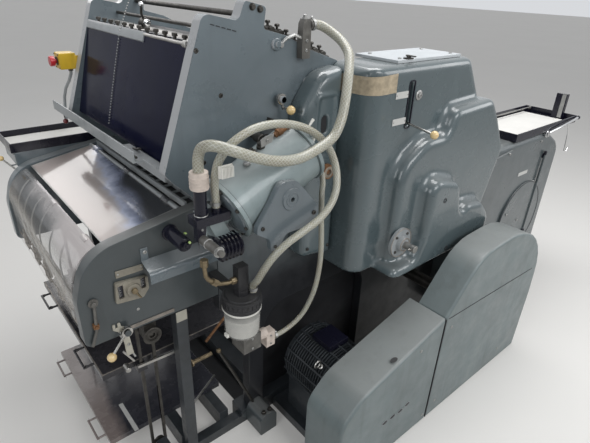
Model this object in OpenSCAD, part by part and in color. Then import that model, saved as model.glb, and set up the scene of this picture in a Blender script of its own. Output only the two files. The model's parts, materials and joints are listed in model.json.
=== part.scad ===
// Sheet-fed offset printing press seen from its drive side.
// X runs from the delivery nose to the feeder end, Y from the drive side to the operator side.
// Z is up from the floor. Sizes are in millimetres.

/* [Main frames] */
// Distance between the outer faces of the two side frames
frame_gap = 840; // [780:1:900]
// Thickness of a cast side frame
frame_t = 45; // [35:1:55]
// Length from the delivery nose to the end of the feeder frame
frame_l = 2631; // [2580:1:2700]
// Height of the top edge of the main side frames
frame_top = 1045; // [1035:1:1060]
// Radius of the arched opening over the motor
arch_r = 300; // [270:1:310]
// Height of the base rails
rail_h = 70; // [55:1:85]
// Width of the base rails
rail_w = 70; // [60:1:80]

/* [Delivery] */
// Radius of the rounded delivery nose
nose_r = 132; // [120:1:140]
// Height of the lower edge of the delivery frames
delivery_low = 690; // [680:1:700]
// Height of the delivery frames where they meet the ink unit
delivery_top = 1042; // [1030:1:1050]
// Side of a square delivery leg
leg_w = 40; // [30:1:45]
// Diameter of the rods that carry the clear guards
guard_rod_d = 16; // [12:1:18]
// Thickness of the clear guards
clear_t = 5; // [4:0.5:6]
// Height of the upper pile board
pile_z = 470; // [440:1:490]
// Thickness of a pile board
board_t = 22; // [18:1:26]

/* [Ink unit] */
// Thickness of an ink unit side frame
ink_t = 40; // [32:1:45]
// Diameter of the large ink drum
ink_drum_d = 150; // [130:1:160]
// Diameter of the form rollers
ink_roller_d = 60; // [50:1:64]
// Diameter of the tie bars
tie_d = 16; // [12:1:24]

/* [Gear cover] */
// Distance of the main face from the side frame
cover_d1 = 192; // [180:1:200]
// Height of the second layer above the main face
cover_d2 = 53; // [45:1:56]
// Height of the third layer above the second
cover_d3 = 55; // [48:1:58]
// Edge radius of the moulded layers
cover_edge = 26; // [18:1:28]
// Radius where one layer flows into the next
cover_flow = 20; // [10:1:22]
// Height of the top of the gear cover
cover_top = 1425; // [1415:1:1435]
// Width of the lever slot
slot_w = 20; // [19:1:24]
// Diameter of the hand crank shaft end
crank_d = 28; // [24:1:32]

/* [Drive] */
// Distance of the belt guard face from the side frame
guard_out = 463; // [455:1:470]
// Radius of the large belt guard
guard_r = 388; // [370:1:395]
// Outer diameter of the motor
motor_d = 270; // [240:1:280]
// Length of the motor body
motor_l = 240; // [220:1:250]

/* [Air pump] */
// Outer diameter of the pump cylinder
pump_d = 184; // [170:1:190]
// Length of the pump cylinder
pump_l = 270; // [250:1:285]
// Tilt of the pump cylinder
pump_tilt = 25; // [20:0.5:28]
// Diameter of the filter bowl
bowl_d = 120; // [100:1:130]

/* [Feeder] */
// Height of the top edge of the feeder frames
feeder_top = 978; // [970:1:985]
// Distance of the feeder frame face from the main side frame
feeder_out = 150; // [140:1:160]
// Length of the side tray
tray_l = 700; // [680:1:710]
// Width of the side tray
tray_w = 300; // [260:1:320]

/* [Levers] */
// Diameter of the ivory ball knobs
ball_d = 28; // [24:1:30]
// Diameter of the lever rods
lever_d = 8; // [7:1:9]

/* [Hidden] */
$fn = 48;

paint = [0.40, 0.44, 0.46];
paint_light = [0.56, 0.59, 0.61];
black = [0.06, 0.06, 0.09];
steel = [0.66, 0.66, 0.66];
ivory = [0.90, 0.80, 0.55];
clear = [0.85, 0.90, 0.92, 0.35];
cream = [0.84, 0.82, 0.72];

// Half of the frame distance, so drive side faces are at -half_w and operator faces at half_w
half_w = frame_gap / 2;
in_w = half_w - frame_t;
run = 0.05;
gap = 6;
seat = 0.3;
guard_y = -half_w - guard_out;
operator_out = 620;
tray_end = 2761;
tray_x0 = tray_end - tray_l;
step_x = tray_x0 - 161;
mid_x = tray_end / 2;
mid_y = (guard_y + operator_out) / 2;

// Outline helpers. A corner is [x, z, r]; corners run anticlockwise.
function unit(v) = v / norm(v);
function left_of(v) = [-v[1], v[0]];
function turn(v, a) = [v[0] * cos(a) - v[1] * sin(a), v[0] * sin(a) + v[1] * cos(a)];
function corner(p, c, n, inset, facet) =
    let (e1 = unit([c[0] - p[0], c[1] - p[1]]))
    let (e2 = unit([n[0] - c[0], n[1] - c[1]]))
    let (n1 = left_of(e1))
    let (n2 = left_of(e2))
    let (v = [c[0], c[1]] + inset * (n1 + n2) / (1 + n1 * n2))
    let (bend = atan2(e1[0] * e2[1] - e1[1] * e2[0], e1 * e2))
    let (s = bend < 0 ? -1 : 1)
    let (r = max(c[2] - s * inset, 0.5))
    let (start = v - e1 * r * tan(abs(bend) / 2))
    let (m = max(1, ceil(abs(bend) / facet)))
    c[2] < 1 ? [v] : [for (k = [0:m]) start + s * n1 * r - s * r * turn(n1, bend * k / m)];
function outline(c, inset = 0, facet = 8) =
    let (m = len(c))
    [for (i = [0:m - 1]) each corner(c[(i + m - 1) % m], c[i], c[(i + 1) % m], inset, facet)];

module place() {
    translate([-mid_x, -mid_y, 0]) children();
}
// A plate in the XZ plane from y to y + t
module plate(c, y, t) {
    translate([0, y + t, 0]) rotate([90, 0, 0]) linear_extrude(t) polygon(outline(c));
}
// A cylinder along Y from y to y + t
module disc(x, z, y, t, d) {
    translate([x, y + t, z]) rotate([90, 0, 0]) cylinder(h = t, d = d);
}
module block(x, y, z, l, w, h) {
    translate([x, y, z]) cube([l, w, h]);
}
// An outline lofted from y_foot towards -Y. Each step of the profile is [height, inset].
// The first corner is one from which the whole outline is seen.
module loft(c, y_foot, profile, facet = 13) {
    rings = [for (p = profile) [for (q = outline(c, p[1], facet)) [q[0], y_foot - p[0], q[1]]]];
    m = len(rings[0]);
    side = [for (i = [0:len(rings) - 2]) for (j = [0:m - 1])
        each [[i * m + j, (i + 1) * m + (j + 1) % m, i * m + (j + 1) % m],
              [i * m + j, (i + 1) * m + j, (i + 1) * m + (j + 1) % m]]];
    foot = [for (j = [0:m - 1]) j];
    top = (len(rings) - 1) * m;
    face = [top, for (j = [m - 1:-1:1]) top + j];
    polyhedron(points = [for (r = rings) each r], faces = concat(side, [foot, face]), convexity = 6);
}
// A moulded layer with a rolled edge between its straight wall and its face
module moulded(c, y_foot, y_face, edge, n = 4) {
    depth = y_foot - y_face;
    roll = [for (a = [0:90 / n:90]) [depth - edge * (1 - sin(a)), edge * (1 - cos(a))]];
    loft(c, y_foot, concat([[0, 0]], roll));
}

// Hoses: a tube swept along its own points
function tangent(p, i) = unit((i == len(p) - 1 ? p[i] : p[i + 1]) - (i == 0 ? p[i] : p[i - 1]));
function carry(u, t) = unit(u - (u * t) * t);
function frames(p, i = 0, u = [0.3, 0.5, 0.8]) =
    i == len(p) ? [] : let (w = carry(u, tangent(p, i))) concat([w], frames(p, i + 1, w));
module tube(p, d, sides = 10) {
    u = frames(p);
    pts = [for (i = [0:len(p) - 1]) let (t = tangent(p, i)) let (v = cross(t, u[i]))
        for (k = [0:sides - 1]) p[i] + d / 2 * (u[i] * cos(360 * k / sides) + v * sin(360 * k / sides))];
    side = [for (i = [0:len(p) - 2]) for (k = [0:sides - 1])
        each [[i * sides + k, (i + 1) * sides + (k + 1) % sides, i * sides + (k + 1) % sides],
              [i * sides + k, (i + 1) * sides + k, (i + 1) * sides + (k + 1) % sides]]];
    cap0 = [for (k = [0:sides - 1]) k];
    cap1 = [for (k = [0:sides - 1]) len(p) * sides - 1 - k];
    polyhedron(points = pts, faces = concat(side, [cap0, cap1]), convexity = 8);
}

// Base
module base_rails() {
    color(paint) place() {
        for (s = [-1, 1])
            block(520, s * (half_w - rail_w / 2) - rail_w / 2, 0, frame_l - 540, rail_w, rail_h);
        block(640, -half_w + rail_w, 0, rail_w, 2 * (half_w - rail_w), rail_h);
        block(motor_x - 150, -half_w - 270, 0, 300, 270, motor_foot);
        block(frame_l - 160, -half_w + rail_w, 0, rail_w, 2 * (half_w - rail_w), rail_h);
        for (s = [-1, 1]) {
            block(leg_x, s * (half_w - leg_w / 2) - leg_w / 2, 0, leg_w, leg_w, delivery_low - seat);
            block(chain_x - 30, s * (half_w - leg_w / 2) - leg_w / 2, 0, 550 - chain_x, leg_w, leg_w);
            block(chain_x - 20, s * (half_w - leg_w / 2) - leg_w / 2, leg_w - 1, 40, leg_w, 87);
        }
        for (x = [270, 440]) block(x, -half_w + leg_w - 1, 0, 40, 2 * (half_w - leg_w) + 2, board_low - seat);
        plate([[foot_x, 0, 6], [foot_x + 80, 0, 6], [foot_x + 80, foot_h, 30], [foot_x, foot_h, 30]],
            -half_w - 100, 100 - seat);
        block(foot_x + 8, -half_w - 20, 0, 64, 40, rail_h - 10);
    }
}
foot_x = 545;
foot_h = 100;
motor_foot = 40;
leg_x = 278;
board_low = 78;
frame_x0 = 440;
motor_x = 830;
motor_z = 270;
module main_frame(y) {
    plate([[frame_x0, 620, 20], [560, 560, 60], [560, rail_h + seat, 0], [frame_l, rail_h + seat, 0],
        [frame_l, 880, 110], [frame_l - 191, feeder_top, 60], [step_x, feeder_top, 60],
        [step_x - 50, frame_top, 60], [frame_x0, frame_top, 10]], y, frame_t);
}
module drive_frame() {
    x0 = motor_x - arch_r + 100;
    x1 = motor_x + arch_r + 60;
    z1 = motor_z + arch_r - 25;
    color(paint) place() difference() {
        main_frame(-half_w);
        plate([[x0, rail_h - 1, 0], [x1, rail_h - 1, 0], [x1, z1, 120], [x0, z1, 120]],
            -half_w - 1, frame_t + 2);
    }
}
module operator_frame() {
    color(paint) place() main_frame(in_w);
}

// Delivery
module stud(x, z) {
    disc(x, z, -half_w - 34, 35, 12);
    disc(x, z, -half_w - 34, 6, 20);
}
module delivery_plate(y) {
    plate([[0, delivery_low, 24], [frame_x0 - seat, delivery_low, 0], [frame_x0 - seat, delivery_top, 0],
           [373, 1036, 40], [40, 984, nose_r], [0, 850, 120]], y, frame_t);
}
module delivery_frame_drive() {
    color(paint) place() {
        delivery_plate(-half_w);
        stud(dl_x, dl_z);
    }
}
module delivery_frame_operator() {
    color(paint) place() delivery_plate(in_w);
}
lid_x0 = 102;
lid_z0 = 982;
lid_x1 = 340;
lid_z1 = 1024;
lid_w = 2 * (in_w - gap);
lid_tilt = atan2(lid_z1 - lid_z0, lid_x1 - lid_x0);
module delivery_lid() {
    color(clear) place() {
        difference() {
            union() {
                translate([lid_x1, 0, lid_z1]) rotate([0, -lid_tilt, 0])
                    translate([-(lid_x1 - lid_x0), -lid_w / 2, -clear_t / 2])
                    cube([lid_x1 - lid_x0 - 8, lid_w, clear_t]);
                for (s = [-1, 0, 1]) disc(lid_x1, lid_z1, s * 300 - 20, 40, guard_rod_d + 12);
            }
            disc(lid_x1, lid_z1, -in_w, 2 * in_w, guard_rod_d + 2 * run);
        }
    }
}
shield_x = 84;
shield_z = 966;
shield_r = nose_r - 6;
module nose_shield() {
    color(clear) place() {
        difference() {
            union() {
                intersection() {
                    difference() {
                        disc(132, 862, -lid_w / 2, lid_w, 2 * shield_r);
                        disc(132, 862, -lid_w / 2 - 1, lid_w + 2, 2 * (shield_r - clear_t));
                    }
                    block(0, -lid_w / 2, 862 - 30, 88, lid_w, 200);
                }
                block(132 - shield_r, -lid_w / 2, 712, clear_t, lid_w, 151);
                for (s = [-1, 0, 1]) disc(shield_x, shield_z, s * 300 - 20, 40, guard_rod_d + 12);
            }
            disc(shield_x, shield_z, -in_w, 2 * in_w, guard_rod_d + 2 * run);
        }
    }
}
module guard_rods() {
    color(steel) place() {
        disc(lid_x1, lid_z1, -in_w + seat, 2 * (in_w - seat), guard_rod_d);
        disc(shield_x, shield_z, -in_w + seat, 2 * (in_w - seat), guard_rod_d);
        for (x = [362, 408]) block(x, -in_w + seat, 1020, 8, 2 * (in_w - seat), 20);
        for (y = [-330:60:330]) block(369, y, 1028, 40, 8, 6);
    }
}
module jogger_bar() {
    color(paint_light) place() {
        block(30, -in_w + seat, 716, 14, 2 * (in_w - seat), 46);
        for (y = [-280:140:280]) block(18, y, 700, 12, 60, 50);
    }
}
board_x = 45;
board_l = 560;
board_w = 670;
chain_x = 190;
chain_y = in_w - 13;
strand_x = chain_x - 24;
module pile_board(z, y0, y1, l) {
    block(board_x, y0, z, l, y1 - y0, board_t);
    for (s = [-1, 1]) {
        y = (y0 + y1) / 2 + s * 200;
        for (e = [-50, 50]) translate([board_x - 30, y + e, z + board_t / 2])
            rotate([0, 90, 0]) cylinder(h = 30, d = 8);
        translate([board_x - 30, y - 54, z + board_t / 2]) rotate([-90, 0, 0]) cylinder(h = 108, d = 8);
    }
}
module upper_pile_board() {
    ear_w = chain_y - board_w / 2 + 18;
    ear_y = (chain_y + board_w / 2) / 2;
    color(black) place() difference() {
        union() {
            pile_board(pile_z, -board_w / 2, board_w / 2, board_l);
            for (s = [-1, 1]) block(strand_x - 16, s * ear_y - ear_w / 2, pile_z, 32, ear_w, board_t);
        }
        for (s = [-1, 1]) translate([strand_x, s * chain_y, pile_z + board_t / 2])
            cube([10 + 2 * seat, 8 + 2 * seat, board_t + 2], center = true);
    }
}
module lower_pile_board() {
    color(black) place() {
        pile_board(board_low, -255, 345, 470);
    }
}
chain_low = 96;
chain_high = 652;
module hoist() {
    color(steel) place() {
        hoist_chains();
        hoist_shaft();
    }
}
module hoist_chains() {
    x1 = chain_x + 29;
    z0 = chain_low - 24;
    z1 = chain_high + 29;
    for (s = [-1, 1]) translate([0, s * chain_y - 4, 0]) difference() {
        plate([[strand_x - 5, z0, 20], [x1, z0, 20], [x1, z1, 29], [strand_x - 5, z1, 29]], 0, 8);
        plate([[strand_x + 5, z0 + 10, 12], [x1 - 10, z0 + 10, 12], [x1 - 10, z1 - 10, 19],
            [strand_x + 5, z1 - 10, 19]], -1, 10);
    }
}
module hoist_shaft() {
    disc(chain_x, chain_high, -in_w - 1, 2 * in_w + 2, 35);
    difference() {
        disc(chain_x, chain_high, -half_w - 12, 14, 52);
        disc(chain_x, chain_high, -half_w - 13, 10, 18);
    }
    for (s = [-1, 1]) {
        block(chain_x - 20, s * (in_w + frame_t / 2) - frame_t / 2, 630,
            40, frame_t, delivery_low - 630 - seat);
        translate([0, s * chain_y - 4, 0]) disc(chain_x, chain_high, 0, 8, 40);
        translate([0, s * chain_y - 4, 0]) disc(chain_x, chain_low + 5, 0, 8, 38);
        translate([0, s * (chain_y + 8) - 8, 0]) disc(chain_x, chain_low + 5, 0, 16 - seat, 14);
    }
}
module frame_adjuster() {
    y = -half_w - 12 - seat;
    color(paint_light) place() difference() {
        union() {
            plate([[99, 812, 6], [180, 802, 10], [200, 828, 8], [199, 870, 6], [104, 880, 6]], y, 12);
            disc(152, 843, y - 8, 10, 40);
            plate([[112, 890, 2], [192, 889, 2], [193, 909, 2], [112, 913, 2]], y + 8, 4);
        }
        block(110, y - 1, 824, 15, 14, 43);
        block(177, y - 1, 834, 14, 14, 34);
        disc(152, 843, y - 9, 8, 14);
    }
}
// A folded hood on the side of the delivery frame, open at its ends and below
module channel_cover() {
    y0 = -half_w - seat;
    color(paint) place() {
        translate([190, 0, 0]) rotate([90, 0, 90]) linear_extrude(frame_x0 - 4 - 190)
            polygon(outline([[y0, 915, 0], [y0, 919, 0], [y0 - 56, 900, 18], [y0 - 56, 866, 0],
                [y0 - 52, 866, 0], [y0 - 52, 897, 14]], 0, 15));
        block(190, y0 - 3, 914, 22, 3, 44);
    }
}
dl_x = 113;
dl_z = 712;
module delivery_lever() {
    color(ivory) place() {
        difference() {
            disc(dl_x, dl_z, -half_w - 26, 12, 34);
            disc(dl_x, dl_z, -half_w - 30, 20, 12 + 2 * run);
        }
        translate([dl_x, -half_w - 20, dl_z]) rotate([0, 218, 0]) {
            translate([0, 0, 14]) cylinder(h = 66, d = lever_d);
            translate([0, 0, 88]) sphere(d = ball_d);
        }
    }
}

// Ink unit
ink_corners = [[287, 1159, 12], [306, 1134, 12], [379, 1060, 30], [frame_x0 - 40, frame_top + seat, 0],
    [935, frame_top + seat, 0], [935, 1420, 20], [796, 1465, 8], [709, 1506, 10], [626, 1526, 8],
    [634, 1584, 10], [561, 1600, 12], [540, 1549, 20], [430, 1570, 26]];
module ink_frame(y) {
    difference() {
        plate(ink_corners, y, ink_t);
        for (p = [[407, 1479], [477, 1356], [413, 1170]]) disc(p[0], p[1], y - 1, ink_t + 2, 14);
    }
}
module ink_frame_drive() {
    color(paint) place() {
        ink_frame(-half_w);
        stud(il_x, il_z);
    }
}
module ink_frame_operator() {
    color(paint) place() ink_frame(half_w - ink_t);
}
ink_in = half_w - ink_t - seat;
module ink_panel() {
    color(black) place() plate([[318, 1164, 2], [330, 1160, 2], [416, 1484, 2], [404, 1488, 2]],
        -ink_in, 2 * ink_in);
}
bar_x = 250;
bar_z = 1164;
bar_y0 = -298;
module guard_bar() {
    color(paint_light) place() {
        block(bar_x, bar_y0, bar_z, 6, 470 - bar_y0, 36);
        block(bar_x, bar_y0, bar_z, 38.4, 470 - bar_y0, 6);
        block(bar_x + 32, -ink_in, bar_z, 28, ink_in - 130, 6);
        translate([bar_x + 54, 0, 0]) rotate([90, 0, 90]) linear_extrude(6)
            polygon([[-ink_in, bar_z + 1], [-ink_in, bar_z - 44], [-170, bar_z - 44], [-130, bar_z - 16],
                [-130, bar_z + 1]]);
    }
}
module ink_rollers() {
    color(black) place() {
        disc(640, 1400, -ink_in, 2 * ink_in, ink_drum_d);
        for (p = [[520, 1330], [560, 1240], [700, 1290], [640, 1190], [760, 1380]])
            disc(p[0], p[1], -ink_in, 2 * ink_in, ink_roller_d);
    }
}
module ink_fountain() {
    color(black) place() {
        plate([[440, 1400, 4], [560, 1400, 4], [560, 1480, 4], [550, 1480, 4], [550, 1412, 4], [450, 1412, 4],
            [450, 1492, 4], [440, 1492, 4]], -ink_in, 2 * ink_in);
        for (y = [-330:60:330]) block(420, y, 1478, 21, 24, 14);
    }
    color(steel) place() {
        disc(498, 1468, -ink_in, 2 * ink_in, 56);
        for (p = [[600, 1560], [880, 1400], [470, 1120]]) disc(p[0], p[1], -ink_in, 2 * ink_in, tie_d);
    }
}
module press_cylinders() {
    color(steel) place() for (p = [[1080, 1080], [1180, 830], [1430, 700]])
        disc(p[0], p[1], -in_w + seat, 2 * (in_w - seat), 262);
}

// Gear cover
face1 = -half_w - cover_d1;
face2 = face1 - cover_d2;
face3 = face2 - cover_d3;
slot_x = 1095;
slot_z0 = 1231;
slot_z1 = 1355;
cover_low = 682;
cover_left = 895;
cover_mid = 1300;
layer1 = [[cover_mid, 600, 0], [1590, 600, 0], [1728, 1035, 80], [1622, 1188, 60], [1552, 1262, 40],
    [1440, cover_top, 40], [cover_left - 5, cover_top, 50], [cover_left - 5, 600, 0]];
layer2 = [[cover_mid, 600, 0], [1610, 600, 0], [1745, 1040, 50], [1640, 1190, 60], [1575, 1268, 40],
    [1320, 1255, 44], [1288, 1168, 46], [1170, 1168, 130], [1040, 1090, 130],
    [1030, 600, 0]];
layer3 = [[cover_mid, 600, 0], [1618, 600, 0], [1645, 770, 60], [1560, 850, 60], [1450, 866, 50], [1402, 838, 28],
    [1352, 985, 60], [1262, 1012, 60], [1165, 1035, 50], [1160, 800, 60], [1125, 712, 40], [1000, 712, 28],
    [1000, 600, 0]];
module cover_base() {
    intersection() {
        moulded(layer1, -half_w - seat, face1, cover_edge);
        translate([0, 0, 590]) linear_extrude(850)
            polygon(outline([[cover_left, face1 - 0.3, 60], [1770, face1 - 0.3, 0], [1770, -half_w + 5, 0],
                [cover_left, -half_w + 5, 0]], 0, 11));
    }
}
// The foot of an upper layer, flaring into the layer under it
module flare(c, under, y_foot) {
    r = cover_flow;
    rise = [for (a = [0:22.5:67.5]) [r * sin(a), -r * (1 - sin(a))]];
    intersection() {
        loft(c, y_foot, concat(rise, [[r * 1.1, 3]]));
        translate([0, y_foot + 1, 0]) rotate([90, 0, 0]) linear_extrude(2 * r)
            polygon(outline(under, cover_edge + 2));
    }
}
module gear_cover() {
    color(paint) place() difference() {
        union() {
            cover_base();
            moulded(layer2, -half_w - 1, face2, cover_edge);
            flare(layer2, layer1, face1 + 1.5);
            moulded(layer3, face1 + 20, face3, cover_edge);
            flare(layer3, layer2, face2 + 1.5);
        }
        block(cover_left - 10, face3 - 10, 580, 900, -face3 - half_w + 20, cover_low - 580);
        block(slot_x - slot_w / 2, face1 - 1, slot_z0 - 12, slot_w, cover_d1 + 2, slot_z1 - slot_z0 + 24);
        disc(crank_x, crank_z, face2 - 1, 60, 60);
        for (p = [[1252, 937], [1328, 706]]) disc(p[0], p[1], face3 - 1, 24, 14);
    }
    color(steel) place() translate([slot_x, lever_y, lever_z]) rotate([0, 90, 0])
        cylinder(h = slot_w + 2, d = 8, center = true);
}
module arch_cover() {
    face = -half_w - 76;
    color(paint) place() difference() {
        union() {
            moulded([[745, 752, 30], [cover_left - seat, 730, 10], [cover_left - seat, 1414, 10],
                [800, 1400, 90], [722, 1290, 90]], -half_w - seat, face, 30);
            difference() {
                plate([[765, 1150, 25], [868, 1150, 25], [868, 1340, 25], [775, 1340, 25]], face - 6, 8);
                plate([[775, 1160, 18], [858, 1160, 18], [858, 1330, 18], [784, 1330, 18]], face - 7, 7);
            }
        }
        hull() for (z = [1225, 1255]) disc(815, z, face - 4, 20, 28);
    }
}
module cover_lid() {
    color(paint) place() {
        block(1040, face1 + 28, cover_top + seat, 360, 190, 10);
        block(1090, face1 + 36, cover_top + 10 + seat, 22, 14, 6);
    }
}
crank_x = 1074;
crank_z = 796;
module crank_boss() {
    color(paint_light) place() difference() {
        union() {
            disc(crank_x, crank_z, face2 - 12, 12 - seat, 116);
            disc(crank_x, crank_z, face2 - 30, 30 + 50, 56);
        }
        disc(crank_x, crank_z, face2 - 31, 90, crank_d + 2 * run);
    }
}
module crank_shaft() {
    color(steel) place() {
        disc(crank_x, crank_z, face2 - 78, 78 + 48, crank_d);
        translate([crank_x, face2 - 62, crank_z]) rotate([0, 90, 0])
            cylinder(h = crank_d + 16, d = 8, center = true);
    }
}
lever_y = -half_w - 30;
lever_z = 1251;
slot_tilt = atan2(lever_z - slot_z0, lever_y - face1);
module slot_lever() {
    color(ivory) place() {
        difference() {
            translate([slot_x - 7, lever_y, lever_z]) rotate([0, 90, 0]) cylinder(h = 8, d = 24);
            translate([slot_x - 8, lever_y, lever_z]) rotate([0, 90, 0]) cylinder(h = 20, d = 8 + 2 * run);
        }
        translate([slot_x, lever_y, lever_z]) rotate([90 + slot_tilt, 0, 0]) {
            translate([0, 0, 9]) cylinder(h = 262, d = lever_d);
            translate([0, 0, 278]) sphere(d = ball_d);
        }
    }
}
il_x = 679;
il_z = 1327;
module ink_lever() {
    color(ivory) place() {
        difference() {
            disc(il_x, il_z, -half_w - 24, 12, 34);
            disc(il_x, il_z, -half_w - 30, 20, 12 + 2 * run);
        }
        translate([il_x, -half_w - 18, il_z]) rotate([0, 165, 0]) {
            translate([0, 0, 14]) cylinder(h = 20, d = lever_d);
            translate([0, 0, 28]) rotate([90, 0, 0]) cylinder(h = 34, d = lever_d);
            translate([0, -40, 28]) sphere(d = ball_d);
        }
    }
}
// Drive
guard_x1 = 1148;
module lower_belt_guard() {
    color(paint) place() moulded([[610, 0, 10], [guard_x1 - seat, 0, 0.5], [guard_x1 - seat, 531, 0.5],
        [700, 411, 110], [610, 330, 90]], guard_y + 173, guard_y, 12);
}
pulley_x = 1530;
pulley_z = 360;
module large_belt_guard() {
    color(paint) place() moulded([[guard_x1, 0, 0.5], [1905, 0, 10], [pulley_x + guard_r, 330, 60],
        [1900, 650, 300], [1600, pulley_z + guard_r + 10, 330], [1330, pulley_z + guard_r, 200],
        [guard_x1, 535, 10]], guard_y + 129, guard_y, 12);
}
module drive_shaft() {
    color(steel) place() disc(pulley_x, pulley_z, guard_y + 129 + seat, guard_out - 129 - 2 * seat, 60);
}
module motor() {
    color(black) place() {
        disc(motor_x, motor_z, -half_w - 280, motor_l, motor_d - 30);
        for (k = [0:17]) translate([motor_x, 0, motor_z]) rotate([0, k * 20, 0])
            translate([-3, -half_w - 270, motor_d / 2 - 20]) cube([6, motor_l - 20, 20]);
        disc(motor_x, motor_z, guard_y + 173 + seat, 40, 38);
        for (x = [-110, 50]) block(motor_x + x, -half_w - 260, motor_foot + seat, 60, motor_l - 40, 160);
    }
}

// Air pump
pump_x = 528;
pump_y = -half_w - 140;
pump_z = 1142;
hub_x = 534;
hub_z = 1117;
module pump_at() {
    translate([pump_x, pump_y, pump_z]) rotate([0, -pump_tilt, 0]) children();
}
module pump_cylinder() {
    color(paint) place() pump_at() {
        translate([-pump_l / 2, 0, 0]) rotate([0, 90, 0]) cylinder(h = pump_l, d = pump_d);
        for (x = [-pump_l / 2 - 12, pump_l / 2])
            translate([x, 0, 0]) rotate([0, 90, 0]) cylinder(h = 12, d = pump_d + 12);
    }
    color(paint) place() {
        translate([640, pump_y, 1262]) sphere(d = 32);
        translate([640, pump_y, 1262]) rotate([0, 127, 0]) cylinder(h = 21, d = 26);
        disc(hub_x, hub_z, pump_y - pump_d / 2 - 2, 60, 44);
        disc(hub_x, hub_z, pump_y + 30, -half_w - seat - pump_y - 30, 60);
    }
}
bracket_y = pump_y - pump_d / 2 - 22;
module pump_bracket() {
    color(paint) place() difference() {
        union() {
            plate([[418, 1040, 8], [462, 1010, 20], [466, 972, 8], [492, 972, 8], [520, 1012, 20],
                [612, 1012, 20], [645, 1062, 24], [552, 1168, 40], [496, 1174, 30], [462, 1120, 30],
                [420, 1062, 8]], bracket_y, 20 - seat);
            disc(hub_x, hub_z, bracket_y - 5, 10, 64);
            block(520, bracket_y + 19, 1012, 120, -half_w - seat - bracket_y - 19, 14);
            block(500, bracket_y + 18, 976, 14, 60, 46);
            block(500, bracket_y + 18, 1012, 40, 60, 14);
        }
        disc(hub_x, hub_z, bracket_y - 8, 40, 14);
    }
}
module bellows(l, d, ribs) {
    p = l / ribs;
    wave = [for (k = [0:ribs - 1]) each [[d / 2 - 8, k * p], [d / 2, (k + 0.5) * p]]];
    rotate([0, 90, 0]) rotate_extrude() polygon(concat([[0, 0]], wave, [[d / 2 - 8, l], [0, l]]));
}
module pump_head() {
    color(paint_light) place() {
        pump_at() {
            translate([-pump_l / 2 - 12 - seat - 34, 0, 0]) rotate([0, 90, 0]) cylinder(h = 34, d = 64);
            translate([-pump_l / 2 - 12 - 74, -34, -56]) cube([42, 68, 96]);
        }
        disc(289, 1042, -690, 90, 26);
        disc(289, 1042, -706, 18, 18);
        block(276, -612, 1036, 26, 24, 44);
    }
    color(black) place() {
        block(273, -614, 1077, 102, 48, 25);
        translate([336, -600, 990]) bellows(70, 76, 6);
        translate([300, -590, 1100]) cylinder(h = 78 - seat, d = 34);
        translate([345, -590, 1100]) cylinder(h = 12 - seat, d = 28);
    }
    color(cream) place() translate([300, -590, 1176]) cylinder(h = 46 - seat, d = 48);
}
bowl_x = 420;
bowl_y = -half_w - 170;
module filter_bowl() {
    color(clear) place() translate([bowl_x, bowl_y, 652]) rotate_extrude()
        polygon([[0, 0], [bowl_d / 2 - 16, 0], [bowl_d / 2 - 4, 14], [bowl_d / 2 - 2, 108], [0, 108]]);
}
module bowl_bracket() {
    color(black) place() {
        translate([bowl_x, bowl_y, 760 + seat]) cylinder(h = 40, d = bowl_d);
        translate([bowl_x, bowl_y, 799]) cylinder(h = 20, d = 44);
        block(bowl_x - 20, bowl_y - 15, 800, 36, 30, 105);
        translate([450, -608, 799]) cylinder(h = 7 - seat, d = 30);
        block(bowl_x - 15, bowl_y, 765, 30, 170 - seat, 30);
    }
    color(paint_light) place() {
        block(bowl_x - 18, bowl_y - 35, 590, 66, 70, 62 - seat);
        block(446, bowl_y + 34, 622, 24, 136 - seat, 24);
    }
    color(cream) place() {
        translate([bowl_x + 47, -590, 606]) rotate([0, 90, 0]) cylinder(h = 44, d = 36);
        block(505, -606, 550, 35 - seat, 32, 60);
    }
}
module air_valve() {
    color(paint_light) place() {
        block(750, -half_w - 26 - seat, 1440, 34, 26, 112);
        translate([784, -432, 1535]) rotate([0, 90, 0]) cylinder(h = 16 - seat, d = 34);
    }
}

// Feeder
feeder_y = -half_w - feeder_out;
module feeder_casing() {
    color(paint) place() moulded([[step_x - 130, rail_h, 20], [frame_l, rail_h, 20], [frame_l, 880, 110],
        [frame_l - 191, feeder_top, 60], [step_x - 130, feeder_top, 40]], -half_w - seat, feeder_y, 34);
}
module feeder_cover() {
    lip_x = step_x - 100;
    color(paint) place() {
        plate([[lip_x, 540, 4], [lip_x + 22, 540, 4], [lip_x + 25, 740, 60], [lip_x + 52, 892, 40],
            [lip_x + 244, 914, 8], [lip_x + 246, 948, 14], [lip_x + 34, 930, 60], [lip_x + 1, 745, 80]],
            feeder_y - 12 - seat, 12);
        disc(frame_l - 321, 490, feeder_y - 8 - seat, 8, 448);
    }
    color(black) place() translate([frame_l - 211, feeder_y - 10, 390])
        rotate([0, 2, 0]) cylinder(h = 460, d = 12);
}
module feeder_table() {
    color(black) place() block(step_x - 110, -in_w + seat, 800, frame_l + 50 - step_x, 2 * (in_w - seat), 20);
}
tray_z = feeder_top + seat;
module side_tray() {
    color(black) place() difference() {
        block(tray_x0, feeder_y, tray_z, tray_l, tray_w, 40);
        block(tray_x0 + 5, feeder_y + 5, tray_z + 5, tray_l - 10, tray_w - 10, 40);
    }
}
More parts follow.
